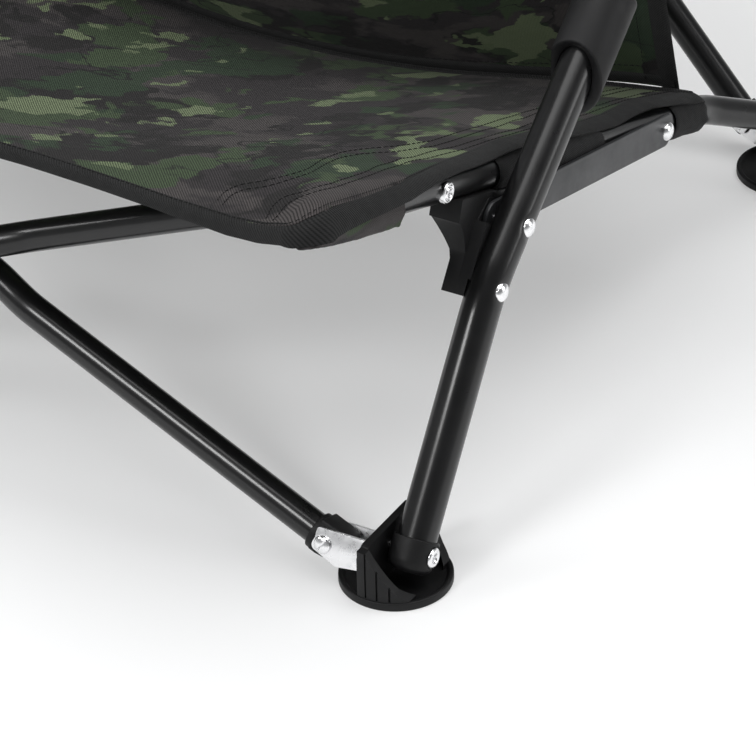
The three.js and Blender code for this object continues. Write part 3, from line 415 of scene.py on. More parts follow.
def node(tree, kind, *sources, **values):
    """A new node. Values go to its settings and named inputs, sources to its first inputs."""
    n = tree.nodes.new("ShaderNode" + kind)
    for key, value in values.items():
        if key in n.inputs:
            feed(tree, n.inputs[key], value)
        else:
            setattr(n, key, value)
    for socket, value in zip(n.inputs, sources):
        feed(tree, socket, value)
    return n


def maths(tree, operation, *terms):
    return node(tree, "Math", *terms, operation=operation).outputs[0]


def material(name, inputs):
    """A material; inputs(tree) gives what goes into the inputs of its shader."""
    m = bpy.data.materials.new(name)
    m.use_nodes = True
    bsdf = next(n for n in m.node_tree.nodes if n.type == "BSDF_PRINCIPLED")
    for key, value in inputs(m.node_tree).items():
        feed(m.node_tree, bsdf.inputs[key], value)
    return m


def grey(v):
    return (v, v, v)


def ramp(tree, source, stops):
    n = node(tree, "ValToRGB", source)
    elements = n.color_ramp.elements
    while len(elements) < len(stops):
        elements.new(0.5)
    for e, (at, colour) in zip(elements, stops):
        e.position = at
        e.color = (*colour, 1)
    return n.outputs["Color"]


def object_coords(tree):
    return node(tree, "TexCoord").outputs["Object"]


def cloth_coords(tree):
    """Places on the flat cloth, in metres, which each cloth piece carries."""
    return node(tree, "Attribute", attribute_name="flat", attribute_type="GEOMETRY").outputs["Vector"]


def mapped(tree, vector, offset=(0, 0, 0), turn=0.0, stretch=(1, 1, 1)):
    rotation = (0, 0, math.radians(turn))
    return node(tree, "Mapping", vector, Location=offset, Rotation=rotation, Scale=stretch).outputs[0]


def tex(tree, vector, scale, detail, rough, output="Fac"):
    n = node(tree, "TexNoise", Vector=vector, Scale=scale, Detail=detail, Roughness=rough)
    return n.outputs[output]


def drift(tree, vector, scale, detail, rough, low, high):
    """A grey that wanders slowly between two levels."""
    return ramp(tree, tex(tree, vector, scale, detail, rough), [(0.3, grey(low)), (0.75, grey(high))])


def bump(tree, height, strength, distance, chain=None):
    n = node(tree, "Bump", Strength=strength, Distance=distance, Height=height)
    if chain is not None:
        feed(tree, n.inputs["Normal"], chain)
    return n.outputs["Normal"]


def mix_colour(tree, factor, a, b, blend="MIX"):
    n = node(tree, "Mix", data_type="RGBA", blend_type=blend)
    for i, value in ((0, factor), (6, a), (7, b)):
        feed(tree, n.inputs[i], value)
    return n.outputs[2]


def wave(tree, vector, turns, along="X"):
    """Sine ribs, in turns per metre, along one axis of the vector."""
    at = node(tree, "SeparateXYZ", vector).outputs[along]
    sine = maths(tree, "SINE", maths(tree, "MULTIPLY", at, 2 * math.pi * turns))
    return maths(tree, "MULTIPLY_ADD", sine, 0.5, 0.5)


def mask(tree, vector, scale, level, edge, detail, rough, offset=(0, 0, 0), stretch=(1, 1, 1)):
    """White patches where noise passes a level."""
    value = tex(tree, mapped(tree, vector, offset, 0.0, stretch), scale, detail, rough)
    return ramp(tree, value, [(level - edge, grey(0.0)), (level + edge, grey(1.0))])


def outline_of(tree, vector, scale, level, width, offset):
    """Thin winding lines where slow noise crosses a level."""
    value = tex(tree, mapped(tree, vector, offset), scale, 2.5, 0.5)
    inner = width / 3
    stops = [(level - width, 0), (level - inner, 1), (level + inner, 1), (level + width, 0)]
    return ramp(tree, value, [(at, grey(v)) for at, v in stops])


def warped(tree, vector, scale, amount):
    """Coordinates pushed about by slow noise, for shapes with torn edges."""
    centred = node(tree, "VectorMath", tex(tree, vector, scale, 3.0, 0.6, "Color"), grey(0.5), operation="SUBTRACT")
    scaled = node(tree, "VectorMath", centred.outputs[0], (amount, amount, 0), operation="MULTIPLY")
    return node(tree, "VectorMath", vector, scaled.outputs[0], operation="ADD").outputs[0]


def coated(name, dark, light, roughness, grain, depth, coat=0.0, coat_rough=0.3, metallic=0.0, specular=0.5):
    """Paint or moulded plastic: slow colour drift, uneven gloss, fine grain."""

    def inputs(tree):
        v = object_coords(tree)
        return {
            "Base Color": ramp(tree, tex(tree, v, 38, 4, 0.6), [(0.3, dark), (0.72, light)]),
            "Roughness": drift(tree, v, 95, 4, 0.65, *roughness),
            "Normal": bump(tree, tex(tree, v, grain, 2, 0.5), 1.0, depth),
            "Metallic": metallic,
            "Specular IOR Level": specular,
            "Coat Weight": coat,
            "Coat Roughness": coat_rough,
        }

    return material(name, inputs)


def metal(name, dark, light, roughness, spangle, depth):
    """Bare metal with crystal spangles and a fine uneven grain."""

    def inputs(tree):
        v = object_coords(tree)
        cells = node(tree, "TexVoronoi", Vector=v, Scale=spangle).outputs["Distance"]
        spots = maths(tree, "ADD", cells, tex(tree, v, spangle * 0.6, 4, 0.6))
        return {
            "Base Color": ramp(tree, spots, [(0.45, dark), (1.0, light)]),
            "Roughness": drift(tree, v, 210, 4, 0.7, *roughness),
            "Normal": bump(tree, tex(tree, v, 900, 3, 0.6), 1.0, depth),
            "Metallic": 1.0,
        }

    return material(name, inputs)


def camouflage(name):
    """Woven polyester with a generic print of leaf shadows, and painted shade between the threads of its weave."""
    wide, wider = (1.35, 0.8, 1), (1.4, 0.8, 1)
    # Scale, level, edge, detail and roughness of the patches, then offset, stretch, share, colour
    under = [
        (10, 0.545, 0.010, 3.5, 0.6, (5.7, 9.3, 0), wide, 1.0, (0.0165, 0.0150, 0.0155)),
        (8.5, 0.565, 0.010, 3.5, 0.6, (3.1, 1.7, 0), wide, 0.9, (0.0270, 0.0500, 0.0260)),
        (12, 0.575, 0.012, 3.0, 0.6, (9.4, 6.2, 0), wide, 1.0, (0.0500, 0.0760, 0.0380)),
    ]
    over = [
        (12, 0.598, 0.005, 3.0, 0.55, (11.2, 5.1, 0), wider, 1.0, (0.1550, 0.1950, 0.1080)),
        (20, 0.665, 0.006, 2.5, 0.55, (4.6, 2.2, 0), wider, 1.0, (0.1300, 0.1700, 0.0900)),
    ]

    def inputs(tree):
        v = cloth_coords(tree)
        p = warped(tree, v, 30, 0.040)

        def printed(colour, patches):
            for *form, share, ink in patches:
                area = mask(tree, p, *form)
                if share < 1:
                    area = maths(tree, "MULTIPLY", area, share)
                colour = mix_colour(tree, area, colour, ink)
            return colour

        ground = mask(tree, p, 9, 0.51, 0.018, 4, 0.6)
        colour = mix_colour(tree, ground, (0.0320, 0.0280, 0.0300), (0.0620, 0.0550, 0.0545))
        colour = printed(colour, under)
        lines = outline_of(tree, p, 11, 0.47, 0.010, (2.2, 7.7, 0))
        broken = mask(tree, v, 8, 0.50, 0.03, 2, 0.5, (8, 3, 0))
        colour = mix_colour(tree, maths(tree, "MULTIPLY", lines, broken), colour, (0.0120, 0.0112, 0.0118))
        colour = printed(colour, over)
        twill = wave(tree, mapped(tree, v, turn=-38), 1 / 0.00138)
        pick = wave(tree, mapped(tree, v, turn=52), 1 / 0.00120)
        crossed = maths(tree, "MULTIPLY", twill, pick)
        thread = maths(tree, "MULTIPLY_ADD", crossed, 0.35, maths(tree, "MULTIPLY", twill, 0.65))
        # Painted shade: the print is multiplied darker in the grooves between the threads of the weave.
        painted_weave_shade = ramp(tree, thread, [(0.0, grey(0.16)), (0.55, grey(0.92)), (0.9, grey(1.0))])
        lit = mix_colour(tree, 1.0, colour, painted_weave_shade, "MULTIPLY")
        fleck = ramp(tree, tex(tree, v, 2600, 2, 0.6), [(0.60, grey(0.0)), (0.78, grey(0.55))])
        weave = bump(tree, thread, 0.7, 0.00022)
        return {
            "Base Color": mix_colour(tree, fleck, lit, (0.105, 0.108, 0.100)),
            "Roughness": drift(tree, v, 60, 3, 0.6, 0.72, 0.88),
            "Normal": bump(tree, tex(tree, v, 70, 3, 0.5), 0.35, 0.0006, weave),
            "Specular IOR Level": 0.22,
            "Sheen Weight": 0.03,
            "Sheen Roughness": 0.45,
        }

    return material(name, inputs)


def ribbed(name, dark, light, pitch, angle, depth=0.00022):
    """Woven tape with slanting ribs across its width, with painted shade in the grooves and painted light on the ribs.
    """

    def inputs(tree):
        v = cloth_coords(tree)
        rib = wave(tree, mapped(tree, v, turn=angle), 1 / pitch)
        cross = wave(tree, v, 1 / (pitch * 0.62), "Y")
        thread = maths(tree, "MULTIPLY_ADD", cross, 0.35, rib)
        # Painted shade and light: dark in the grooves between the ribs, light on their crests.
        colour = ramp(tree, thread, [(0.1, dark), (1.0, light)])
        return {
            "Base Color": mix_colour(tree, 1.0, colour, drift(tree, v, 45, 3, 0.6, 0.80, 1.0), "MULTIPLY"),
            "Roughness": drift(tree, v, 130, 3, 0.6, 0.72, 0.88),
            "Normal": bump(tree, thread, 0.8, depth),
            "Specular IOR Level": 0.2,
            "Sheen Weight": 0.03,
            "Sheen Roughness": 0.4,
        }

    return material(name, inputs)


TUBE = coated(
    "black_powder_coat", (0.0035, 0.0035, 0.0037), (0.0070, 0.0070, 0.0074), (0.27, 0.35), 1700, 0.000004,
    coat=0.42, coat_rough=0.16, specular=0.26,
)
PLASTIC = coated(
    "black_moulded_plastic", (0.0045, 0.0045, 0.0048), (0.0085, 0.0085, 0.0090), (0.46, 0.60), 2600, 0.000035,
    specular=0.26,
)
STEEL = coated(
    "dark_grey_steel", (0.030, 0.031, 0.033), (0.046, 0.047, 0.050), (0.36, 0.48), 1500, 0.000012, metallic=0.35
)
ZINC = metal("zinc_sheet", (0.80, 0.81, 0.82), (0.93, 0.93, 0.94), (0.24, 0.36), 150, 0.0000008)
BRIGHT = metal("bright_rivet_steel", (0.78, 0.79, 0.80), (0.94, 0.94, 0.95), (0.20, 0.28), 300, 0.0000005)
CAMO = camouflage("camouflage_weave")
# The ribbed cloths: their first colour is painted shade in the grooves, their second painted light on the ribs.
TAPE = ribbed("black_ribbed_tape", (0.0035, 0.0036, 0.0037), (0.0200, 0.0202, 0.0202), 0.0014, 38)
LINING = ribbed("black_sleeve_cloth", (0.0040, 0.0040, 0.0042), (0.0130, 0.0130, 0.0132), 0.0012, 30, 0.00012)
THREAD = ribbed("black_thread", (0.0035, 0.0035, 0.0037), (0.0110, 0.0110, 0.0112), 0.0004, 45, 0.00006)


# Placing pieces
def piece(name, shape, mat, body, stands_for, angle=40):
    obj = solid(name, shape)
    obj.data.materials.append(mat)
    for poly in obj.data.polygons:
        poly.use_smooth = True
    obj.data.set_sharp_from_angle(angle=math.radians(angle))
    if stands_for:
        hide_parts(stands_for)
    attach(obj, body)
    return obj


def pair(stem, shape, mat, body, stands_for, angle=40):
    """The right piece and its mirror image."""
    for word, side in SIDES:
        turned = shape if side > 0 else mirrored(shape)
        piece(f"{stem}_{word}", turned, mat, f"{body}_{word}", f"{stands_for}_{word}", angle)


# Legs and rails
LEG_BEND_R, RAIL_BEND_R, KNEE_BEND_R = 120, 60, 30
DIMPLE_R, DIMPLE_DEPTH = 9.0, 1.4


def dimple(shape, p):
    """Pushes the leg's outer wall in round a rivet, like a pressed seat."""
    verts, faces = shape
    k = np.clip(np.hypot(verts[:, 1] - p[0], verts[:, 2] - p[1]) / DIMPLE_R, 0, 1)
    fall = (1 - k * k * (3 - 2 * k)) * DIMPLE_DEPTH
    verts[:, 0] -= np.where(verts[:, 0] > LEG_X, fall, 0)
    return verts, faces


leg_corners = [yz(LEG_X, p) for p in (on_leg(-5), leg_bend, on_post(POST_LENGTH))]
leg_pts, leg_tans = bent_path(leg_corners, [LEG_BEND_R], 1.0)
for spot in (dome_lower, dome_upper):
    leg_pts, leg_tans = denser(leg_pts, leg_tans, 1.1, yz(LEG_X, spot), 15)
leg_shape = sweep(leg_pts, leg_tans, LEG_R, 64)
for spot in (dome_lower, dome_upper):
    leg_shape = dimple(leg_shape, spot)
pair("leg_tube", leg_shape, TUBE, "side_frame", "leg_post", 35)

rail_corners = [yz(RAIL_X, on_rail(-121)), yz(RAIL_X, on_rail(352))]
rail_corners += [yz(LEG_X, rear_knee), yz(LEG_X, rear_pivot - 5 * rear_dir)]
rail_path = bent_path(rail_corners, [RAIL_BEND_R, KNEE_BEND_R], 2.0)
pair("rail_tube", sweep(*rail_path, RAIL_R, 56), TUBE, "seat_rail", "seat_rail", 35)

# Feet, caps and pins
DISC_R, WALL_R, WALL, WALL_TOP = 31.6, 30.8, 5.0, 36
BORE_R, PIN_R, PIN_START = 3.3, 3.0, 292.8


def foot_shape():
    """A disc, a pivot wall and sloped curved walls round it, with three grooves at the front."""
    profile = [(0, 1.2), (23, 1.2), (24.2, 0), (DISC_R, 0)]
    profile += [(DISC_R, 5), (DISC_R - 2.6, 5), (DISC_R - 3.8, 3), (0, 3)]
    disc = lathe(rounded(profile, 0.9, 4), ORIGIN, Z_DIR, 128)
    plane = [(-31, 2), (31, 2), (31, 28), (24, 35), (-24, 35), (-31, 28)]
    tower = solid("tower", prism(soft_polygon(plane, [0, 0, 3, 3, 3, 3], 4), ORIGIN, Y_DIR, Z_DIR, -7, -2.5))
    boolean(tower, rod(WALL_R, 1, WALL_TOP, ORIGIN, Z_DIR, 128), "INTERSECT")
    slope = [(-6.6, 2), (21, 2), (21, 5.4), (14, 11.4), (-1.5, 34.2), (-6.6, 34.2)]
    walls = solid("walls", prism(slope, ORIGIN, X_DIR, Z_DIR, -32, 32))
    ring = rectangle(WALL_R - WALL, 1, WALL_R, WALL_TOP)
    boolean(walls, lathe(ring, ORIGIN, Z_DIR, 128, closed=True), "INTERSECT")
    boolean(tower, walls, "UNION")
    boolean(tower, rod(BORE_R, -9, 2, vec(0, 0, PIVOT_Z), X_DIR, 40))
    for i in range(3):
        x = -1.3 + 6.7 * i
        at = vec(x, -math.sqrt(WALL_R**2 - x * x), 5.6)
        boolean(tower, prism(rectangle(-0.55, -0.95, 0.55, 0.95), at, X_DIR, Y_DIR, 0, 40))
    return joined(disc, bevelled(tower, 0.55, 3, 40))


foot = foot_shape()
pair("swivel_foot_front", moved(foot, vec(FOOT_X, 0, 0)), PLASTIC, "foot_front", "foot_front", 30)
pair("swivel_foot_rear", moved(mirrored(foot, 1), vec(FOOT_X, REAR_Y, 0)), PLASTIC, "foot_rear", "foot_rear", 30)


def cap_shape(pivot, direction, tube_r, top):
    """A cap on a tube's lower end, with a flat seat for the pin's head."""
    inner = tube_r + 0.25
    profile = [(0, -11), (8.2, -11), (11.9, -8.4), (12.8, -5), (13, top), (inner, top), (inner, -5.2), (0, -5.2)]
    at = yz(LEG_X, pivot)
    obj = solid("cap", lathe(rounded(profile, 1.2, 6), at, yz(0, direction), 72))
    boolean(obj, rod(7, 12, 15, at, X_DIR, 56))
    boolean(obj, rod(BORE_R, -15, 15, at, X_DIR, 40))
    return bevelled(obj, 0.3, 2, 50)


pair("leg_end_cap_front", cap_shape(front_pivot, leg_dir, LEG_R, 8.0), PLASTIC, "side_frame", "leg_cap_front")
pair("leg_end_cap_rear", cap_shape(rear_pivot, rear_dir, RAIL_R, 14.0), PLASTIC, "seat_rail", "leg_cap_rear")

for where, pivot in (("front", front_pivot), ("rear", rear_pivot)):
    start, face = PIN_START, LEG_X + 12.1
    lip = [(6, 0), (6, 0.7), (5.4, 1.35), (4.5, 1.75), (3.5, 1.8), (2.7, 1.4), (2.25, 0.6), (2.1, -1.2), (0, -1.2)]
    profile = [(0, start), (PIN_R, start), (PIN_R, face)] + [(r, face + h) for r, h in lip]
    pin = lathe(rounded(profile, 0.35, 3), yz(0, pivot), X_DIR, 56)
    pair(f"foot_pivot_pin_{where}", pin, BRIGHT, f"foot_{where}", f"foot_pin_{where}")

# Crossed tubes with their plugs, pressed clips and rivets. In a clip's own frame, a points
# outwards, b up the scissor's plane and c along its normal.
SHEET, EAR_IN, EAR_OUT = 1.8, 8.4, 10.2
UPPER_SHEET, UPPER_IN, UPPER_OUT = 1.5, 9.3, 10.8
LOW_BACK = FOOT_X - 7 - GAP - SCISSOR_HALF
CROSSING_FACE = 18.9  # where the heads of the crossing rivets start, from the scissor's plane


def trimmed(sheet, outline, reach):
    """The bent sheet cut to its flat outline (a, b)."""
    boolean(sheet, prism(outline, ORIGIN, X_DIR, Z_DIR, -reach, reach), "INTERSECT")
    return bevelled(sheet, 0.3, 2, 40)


def low_clip_shape():
    fold = LOW_BACK - SHEET
    section = [(-14, -EAR_OUT), (LOW_BACK, -EAR_OUT), (LOW_BACK, EAR_OUT), (-14, EAR_OUT)]
    section += [(-14, EAR_IN), (fold, EAR_IN), (fold, -EAR_IN), (-14, -EAR_IN)]
    section = soft_polygon(section, [0, 2.6, 2.6, 0, 0, 0.8, 0.8, 0], 6)
    outline = [(-4.2, 9.2), (-7.4, -3.2), (9.2, -10.3)]
    outline += [(LOW_BACK - 2, -8.3), (LOW_BACK + 3, -8.3), (LOW_BACK + 3, 9.2)]
    outline = soft_polygon(outline, [1.6, 3.0, 3.2, 3.0, 0, 0], 6)
    return trimmed(solid("low_clip", prism(section, ORIGIN, X_DIR, Y_DIR, -13, 12)), outline, 60)


def upper_clip_shape(layer, face_x, eyelet_n):
    """A plate that reaches along the rail or post to its eyelet, with two ears."""
    back = face_x - GAP - SCISSOR_HALF
    at = eyelet_n - layer * LAYER
    low, high = min(-UPPER_OUT, at - 8), max(UPPER_OUT, at + 8)
    obj = solid("plate", prism(rectangle(back - UPPER_SHEET, low, back, high), ORIGIN, X_DIR, Y_DIR, -9, 6.5))
    for c0, c1 in ((-UPPER_OUT, -UPPER_IN), (UPPER_IN, UPPER_OUT)):
        boolean(obj, prism(rectangle(-12, c0, back - 0.2, c1), ORIGIN, X_DIR, Y_DIR, -9, 6.5), "UNION")
    outline = [(-7.4, -3.2), (-3.7, -9), (back + 2, -9), (back + 2, 6.5), (-3.7, 6.5), (-7.4, 3.2)]
    return trimmed(obj, soft_polygon(outline, [2.5, 2, 0, 0, 2, 2.5], 5), 80)


def set_in(shape, f, side, pivot):
    """Local (a, c, b) to the place of a scissor's end."""
    v, faces = shape
    out = pivot + np.outer(v[:, 0] * side, X_DIR) + np.outer(v[:, 2], f["u"]) + np.outer(v[:, 1], f["n"])
    return out, faces


def rivet_head(face, wide, s):
    """The profile of a low head, from the shank outwards."""
    dome = [(wide, 0), (wide, 0.5), (4.7, 1.3), (3.4, 1.95), (1.8, 2.25), (0, 2.3)]
    return [(PIN_R, s * face)] + [(r, s * (face + h)) for r, h in dome]


def ear_rivet(f, pivot, grip, slotted):
    face = grip + 0.1
    profile = rivet_head(face, 5.3, -1)[::-1] + rivet_head(face, 5.3, 1)
    shape = lathe(profile, pivot, f["n"])
    if not slotted:
        return shape
    obj = solid("rivet", shape)
    w = math.radians(62)
    right = math.cos(w) * X_DIR + math.sin(w) * f["u"]
    upward = -math.sin(w) * X_DIR + math.cos(w) * f["u"]
    top = pivot - f["n"] * (face + 2.3)
    boolean(obj, prism(rectangle(-3.6, -0.5, 3.6, 0.5), top, right, upward, -0.75, 0.75))
    return bevelled(obj, 0.12, 2, 45)


def tube_direction(f, side):
    return unit(-2 * side * SCISSOR_HALF * X_DIR + f["rise"] * f["u"])


def cross_shape(f, side, layer):
    """A scissor tube, bowed at the crossing so that the other passes, with a domed upper end."""
    base = place_in(f, side * SCISSOR_HALF, 0, 0)
    e = tube_direction(f, side)
    middle, bowed = f["length"] / 2, CROSS_R + 0.7

    def offset(t):
        k = max(0.0, min(1.0, (65 - abs(t - middle)) / 42))
        return layer * (LAYER + (bowed - LAYER) * k * k * (3 - 2 * k))

    stops = [10.7] + list(np.arange(middle - 78, middle + 79, 4.0)) + [f["length"]]
    pts = [base + e * t + f["n"] * offset(t) for t in stops]
    radii = [CROSS_R] * len(pts)
    for k in range(1, 9):
        w = k * math.pi / 16
        pts.append(base + e * (f["length"] + CROSS_R * math.sin(w)) + f["n"] * offset(f["length"]))
        radii.append(max(0.25, CROSS_R * math.cos(w)))
    tans = [unit(b - a) for a, b in zip([pts[0]] + pts[:-1], pts[1:] + [pts[-1]])]
    return sweep(pts, tans, radii, 48)


def plug_shape(f, side, pivot):
    """The plug in a tube's lower end: a flat tongue, a flange and a spigot."""
    e = tube_direction(f, side)
    up = unit(side * f["rise"] * X_DIR + 2 * SCISSOR_HALF * f["u"])
    outline = [(8.2, -9), (8.2, 11), (-12.3, 11), (-9, 0), (-3, -8), (3, -9)]
    tongue = solid("tongue", prism(soft_polygon(outline, [0, 0, 2.5, 3, 3, 2], 5), pivot, e, up, -7.9, 7.9))
    profile = [(0, 5.8), (10.0, 5.8), (10.9, 6.8), (10.9, 10.4), (8.2, 10.4), (8.2, 16.4), (0, 16.4)]
    return joined(bevelled(tongue, 1.3, 3, 40), lathe(rounded(profile, 0.8, 4), pivot, e, 56))


low_clip = low_clip_shape()
front_normal = vec(front_scissor["n"][1], front_scissor["n"][2])
for where, f, face_x, eyelet_n in (
    ("front", front_scissor, RAIL_X - RAIL_R, float((rail_eyelet - front_upper) @ front_normal)),
    ("rear", rear_scissor, LEG_X - LEG_R, -EYELET_BACK),
):
    for word, side in SIDES:
        layer = side
        far = "left" if word == "right" else "right"
        low = place_in(f, side * SCISSOR_HALF, 0, layer * LAYER)
        top = place_in(f, -side * SCISSOR_HALF, f["rise"], layer * LAYER)
        near_end, far_end = f"{where}_{word}", f"{where}_{far}"
        upper_clip = upper_clip_shape(layer, face_x, eyelet_n)
        for stem, end, shape, mat, body, stands_for, angle in (
            ("scissor_tube", near_end, cross_shape(f, side, layer), TUBE, "cross", "cross_tube", 35),
            ("scissor_plug", near_end, plug_shape(f, side, low), PLASTIC, "cross", "cross_plug", 35),
            ("foot_sheet_clip", near_end, set_in(low_clip, f, side, low), ZINC, "foot", "foot_clip", 40),
            ("slotted_rivet", near_end, ear_rivet(f, low, EAR_OUT, True), BRIGHT, "foot", "clip_rivet", 40),
            ("rail_sheet_clip", far_end, set_in(upper_clip, f, -side, top), ZINC, "upper_clip", "upper_clip", 40),
            ("rail_clip_rivet", far_end, ear_rivet(f, top, UPPER_OUT, False), BRIGHT, "upper_clip", "upper_rivet", 40),
        ):
            piece(f"{stem}_{end}", shape, mat, f"{body}_{end}", f"{stands_for}_{end}", angle)
    head = rivet_head(CROSSING_FACE, 5.6, 1)
    tail = rivet_head(CROSSING_FACE, 5.6, -1)[::-1] if where == "front" else [(0, 0.3), (PIN_R, 0.3)]
    rivet = lathe(tail + head, place_in(f, 0, f["rise"] / 2, 0), f["n"])
    piece(f"crossing_rivet_{where}", rivet, BRIGHT, f"cross_{where}_right", f"centre_rivet_{where}")

# Bracket, bar and rivets
SHELF_TOP, SHELF_LOW = -6.7, -19.7
BRACKET_IN, BRACKET_OUT = 277, 295.5
BAR_IN, BAR_OUT = 296.2, 298.7


def bracket_shape():
    """The moulded block between rail and leg: a shelf, a curved back, a notch and a lip."""
    a, b = on_rail(20.5, SHELF_LOW - 0.4), on_leg(163, 7)
    across = left_of(unit(b - a)) * 0.12 * float(np.linalg.norm(b - a))
    outline = [on_rail(19, SHELF_TOP), on_rail(19, SHELF_LOW)]
    outline += [a + (b - a) * t + across * 2 * t * (1 - t) for t in np.arange(11) / 10]
    outline += [on_leg(140.5, 7), on_leg(140.5, -11), on_leg(BEND_AT, -11)]
    outline += [dome_upper - 11 * post_front, on_rail(58, SHELF_TOP)]
    bracket = solid("bracket", side_prism(outline, BRACKET_IN, BRACKET_OUT))
    # The notch in (x, height over the rail)
    notch = [(270, SHELF_LOW), (277.4, SHELF_LOW), (278.6, -23), (280.6, -27.6), (283.0, -32.4)]
    notch += [(285.4, -37.4), (287.5, -43.0), (287.5, -90), (270, -90)]
    boolean(bracket, prism(notch, yz(0, on_rail(0)), X_DIR, across_rail, -60, 110))
    fill = [on_rail(50, -10), on_rail(60.5, -10.2), on_rail(61.5, -13.4), on_rail(77, -13.6)]
    fill += [on_post(BEND_AT + 42, -8), on_leg(172, -12), on_leg(164, -9), on_leg(164, 5), on_leg(176, 6)]
    boolean(bracket, side_prism(fill, 289.5, 295.9), "UNION")
    lip = [on_rail(56, -14), on_rail(56, -7.4), on_rail(86, -7.4), on_rail(86, -14)]
    boolean(bracket, side_prism(lip, 294.5, 296.0), "UNION")
    boolean(bracket, rod(RAIL_R + 0.3, -260, 260, yz(RAIL_X, on_rail(0)), along_rail, 72))
    hug = [on_leg(182, 7), on_leg(140.5, 7), on_leg(140.5, -11), on_leg(166, -11), on_leg(171, 0.5), on_leg(182, 0.5)]
    hug = solid("hug", side_prism(hug, 290, 303))
    boolean(hug, rod(LEG_R + 0.2, 60, 150, yz(LEG_X, front_pivot), yz(0, leg_dir), 72))
    boolean(bracket, hug, "UNION")
    return bevelled(bracket, 0.8, 3, 38)


def bar_shape():
    """The flat bar from the leg's upper rivet to the rail's rivet."""
    d = unit(rail_rivet - dome_upper)
    end = float(np.linalg.norm(rail_rivet - dome_upper)) + 7.4
    flat = soft_polygon(rectangle(-10, -10, end, 10), [9.9, 6.5, 4.5, 9.9], 8)
    bar = solid("bar", side_prism([dome_upper + a * d + b * left_of(d) for a, b in flat], BAR_IN, BAR_OUT))
    return bevelled(bar, 0.55, 3, 40)


def dome_shape(p, seat, end):
    """A dome rivet along X: seat is where its head starts, end the other end of its shank."""
    dome = [(5.6, -0.8), (5.6, 0.7), (5.35, 1.35), (4.7, 2.2), (3.6, 2.95), (2.2, 3.4), (1.0, 3.57), (0, 3.6)]
    profile = [(0, end), (2.7, end), (2.7, seat - 0.8)] + [(r, seat + h) for r, h in dome]
    return lathe(profile, yz(0, p), X_DIR, 56)


pair("rail_cradle_bracket", bracket_shape(), PLASTIC, "side_frame", "rail_bracket", 38)
pair("steel_link_bar", bar_shape(), STEEL, "link_bar", "link_bar")
for where, spot in (("lower", dome_lower), ("upper", dome_upper)):
    pair(f"dome_rivet_{where}", dome_shape(spot, 319.0, 287.7), BRIGHT, "side_frame", f"leg_rivet_{where}")
pair("bar_dome_rivet", dome_shape(rail_rivet, 299.2, 294.2), BRIGHT, "link_bar", "bar_rivet")

eye = RAIL_X + RAIL_R + 0.5
profile = [(0, -4), (6.0, -1.6), (6.0, 1.1), (5.5, 1.75), (4.7, 1.9), (4.1, 1.3)]
profile += [(3.7, 1.2), (3.3, 2.1), (2.7, 2.3), (2.2, 1.9), (2.0, -2.5), (0, -2.5)]
profile = rounded([(r, eye + h) for r, h in profile], 0.2, 2)
eyelet = lathe(profile, yz(0, rail_eyelet), X_DIR, 56)
pair("hollow_rail_eyelet", eyelet, BRIGHT, "seat_rail", "rail_eyelet", 50)

COLLAR_IN, COLLAR_OUT, COLLAR_LOW, COLLAR_SLANT, COLLAR_TOP = 11.3, 17.6, 262, 28, 330.0
COLLAR_FLAT_X = 296.4


def collar_shape():
    """A thick sleeve on the post with a slanted lower end and rounded rims, flat on its inner side."""

    def quarter(steps):
        return [math.radians(90 * k / steps) for k in range(steps + 1)]

    # Radius, whether at the upper end, and distance from that end
    rows = [(COLLAR_IN, False, 0.6), (COLLAR_IN + 0.6, False, 0.0)]
    rows += [(COLLAR_OUT - 1.6 + 1.6 * math.sin(w), False, 1.6 - 1.6 * math.cos(w)) for w in quarter(6)]
    rows += [(COLLAR_OUT - 3.2 + 3.2 * math.cos(w), True, -3.2 + 3.2 * math.sin(w)) for w in quarter(8)]
    rows += [(COLLAR_IN + 0.6, True, 0.0), (COLLAR_IN, True, -0.6)]
    centre = yz(LEG_X, on_post(0))
    count, m = 96, len(rows)
    verts = []
    for k in range(count):
        t = 2 * math.pi * k / count
        low = COLLAR_LOW + COLLAR_SLANT * (math.cos(t) + 1) / 2
        for r, upper, lift in rows:
            g = (COLLAR_TOP if upper else low) + lift
            p = centre + along_post * g + across_post * r * math.cos(t) + X_DIR * r * math.sin(t)
            p[0] = max(p[0], COLLAR_FLAT_X) if r > 13.0 else p[0]
            verts.append(p)
    faces = []
    for k in range(count):
        j = (k + 1) % count
        for i in range(m):
            q = (i + 1) % m
            faces.append([k * m + i, j * m + i, j * m + q, k * m + q])
    return np.array(verts), faces


pair("post_sleeve_collar", collar_shape(), PLASTIC, "side_frame", "post_collar", 50)

# The seat's cloth. s runs along the rail from its eyelet, h is the height over the rail's
# middle. The tables follow the photo near the front right corner.
TOP = 10.9
SEAT_EDGE_X, CORNER_R, SEAT_FRONT, SCOOP, SEAT_REAR = 291.0, 14.0, -143, 40, 338.0
CLOTH = 1.2

# Along the side edge: where it runs, and how far its tape stands out, hangs down and is lifted
EDGE_S = [-143, -128, -115, -90, -45, -13, 20, 55, 88, 120, 154, 187, 216, 243, 265, 301, 338]
EDGE_X = [291, 291, 291, 291, 290, 286.5, 283, 281, 280, 280.5, 281.5, 282, 281.5, 280, 279, 280.5, 283]
EDGE_OUT = [6.8, 6.8, 7.0, 7.2, 7.6, 9, 10, 10.5, 11, 11, 10.5, 9.5, 10, 11, 12, 11, 9]
EDGE_DOWN = [16.6, 16.0, 13.4, 10.4, 7.8, 4.4, 2.4, 2.2, 1.0, 1.4, 2.5, 3.5, 3.5, 2.0, 1.5, 2.0, 4.0]
EDGE_LIFT = [0, 0, 0, 0, 0, 0, 0, 0.6, 2.4, 2.2, 1.6, 0.4, 0.8, 2.6, 4.2, 2.0, 0]
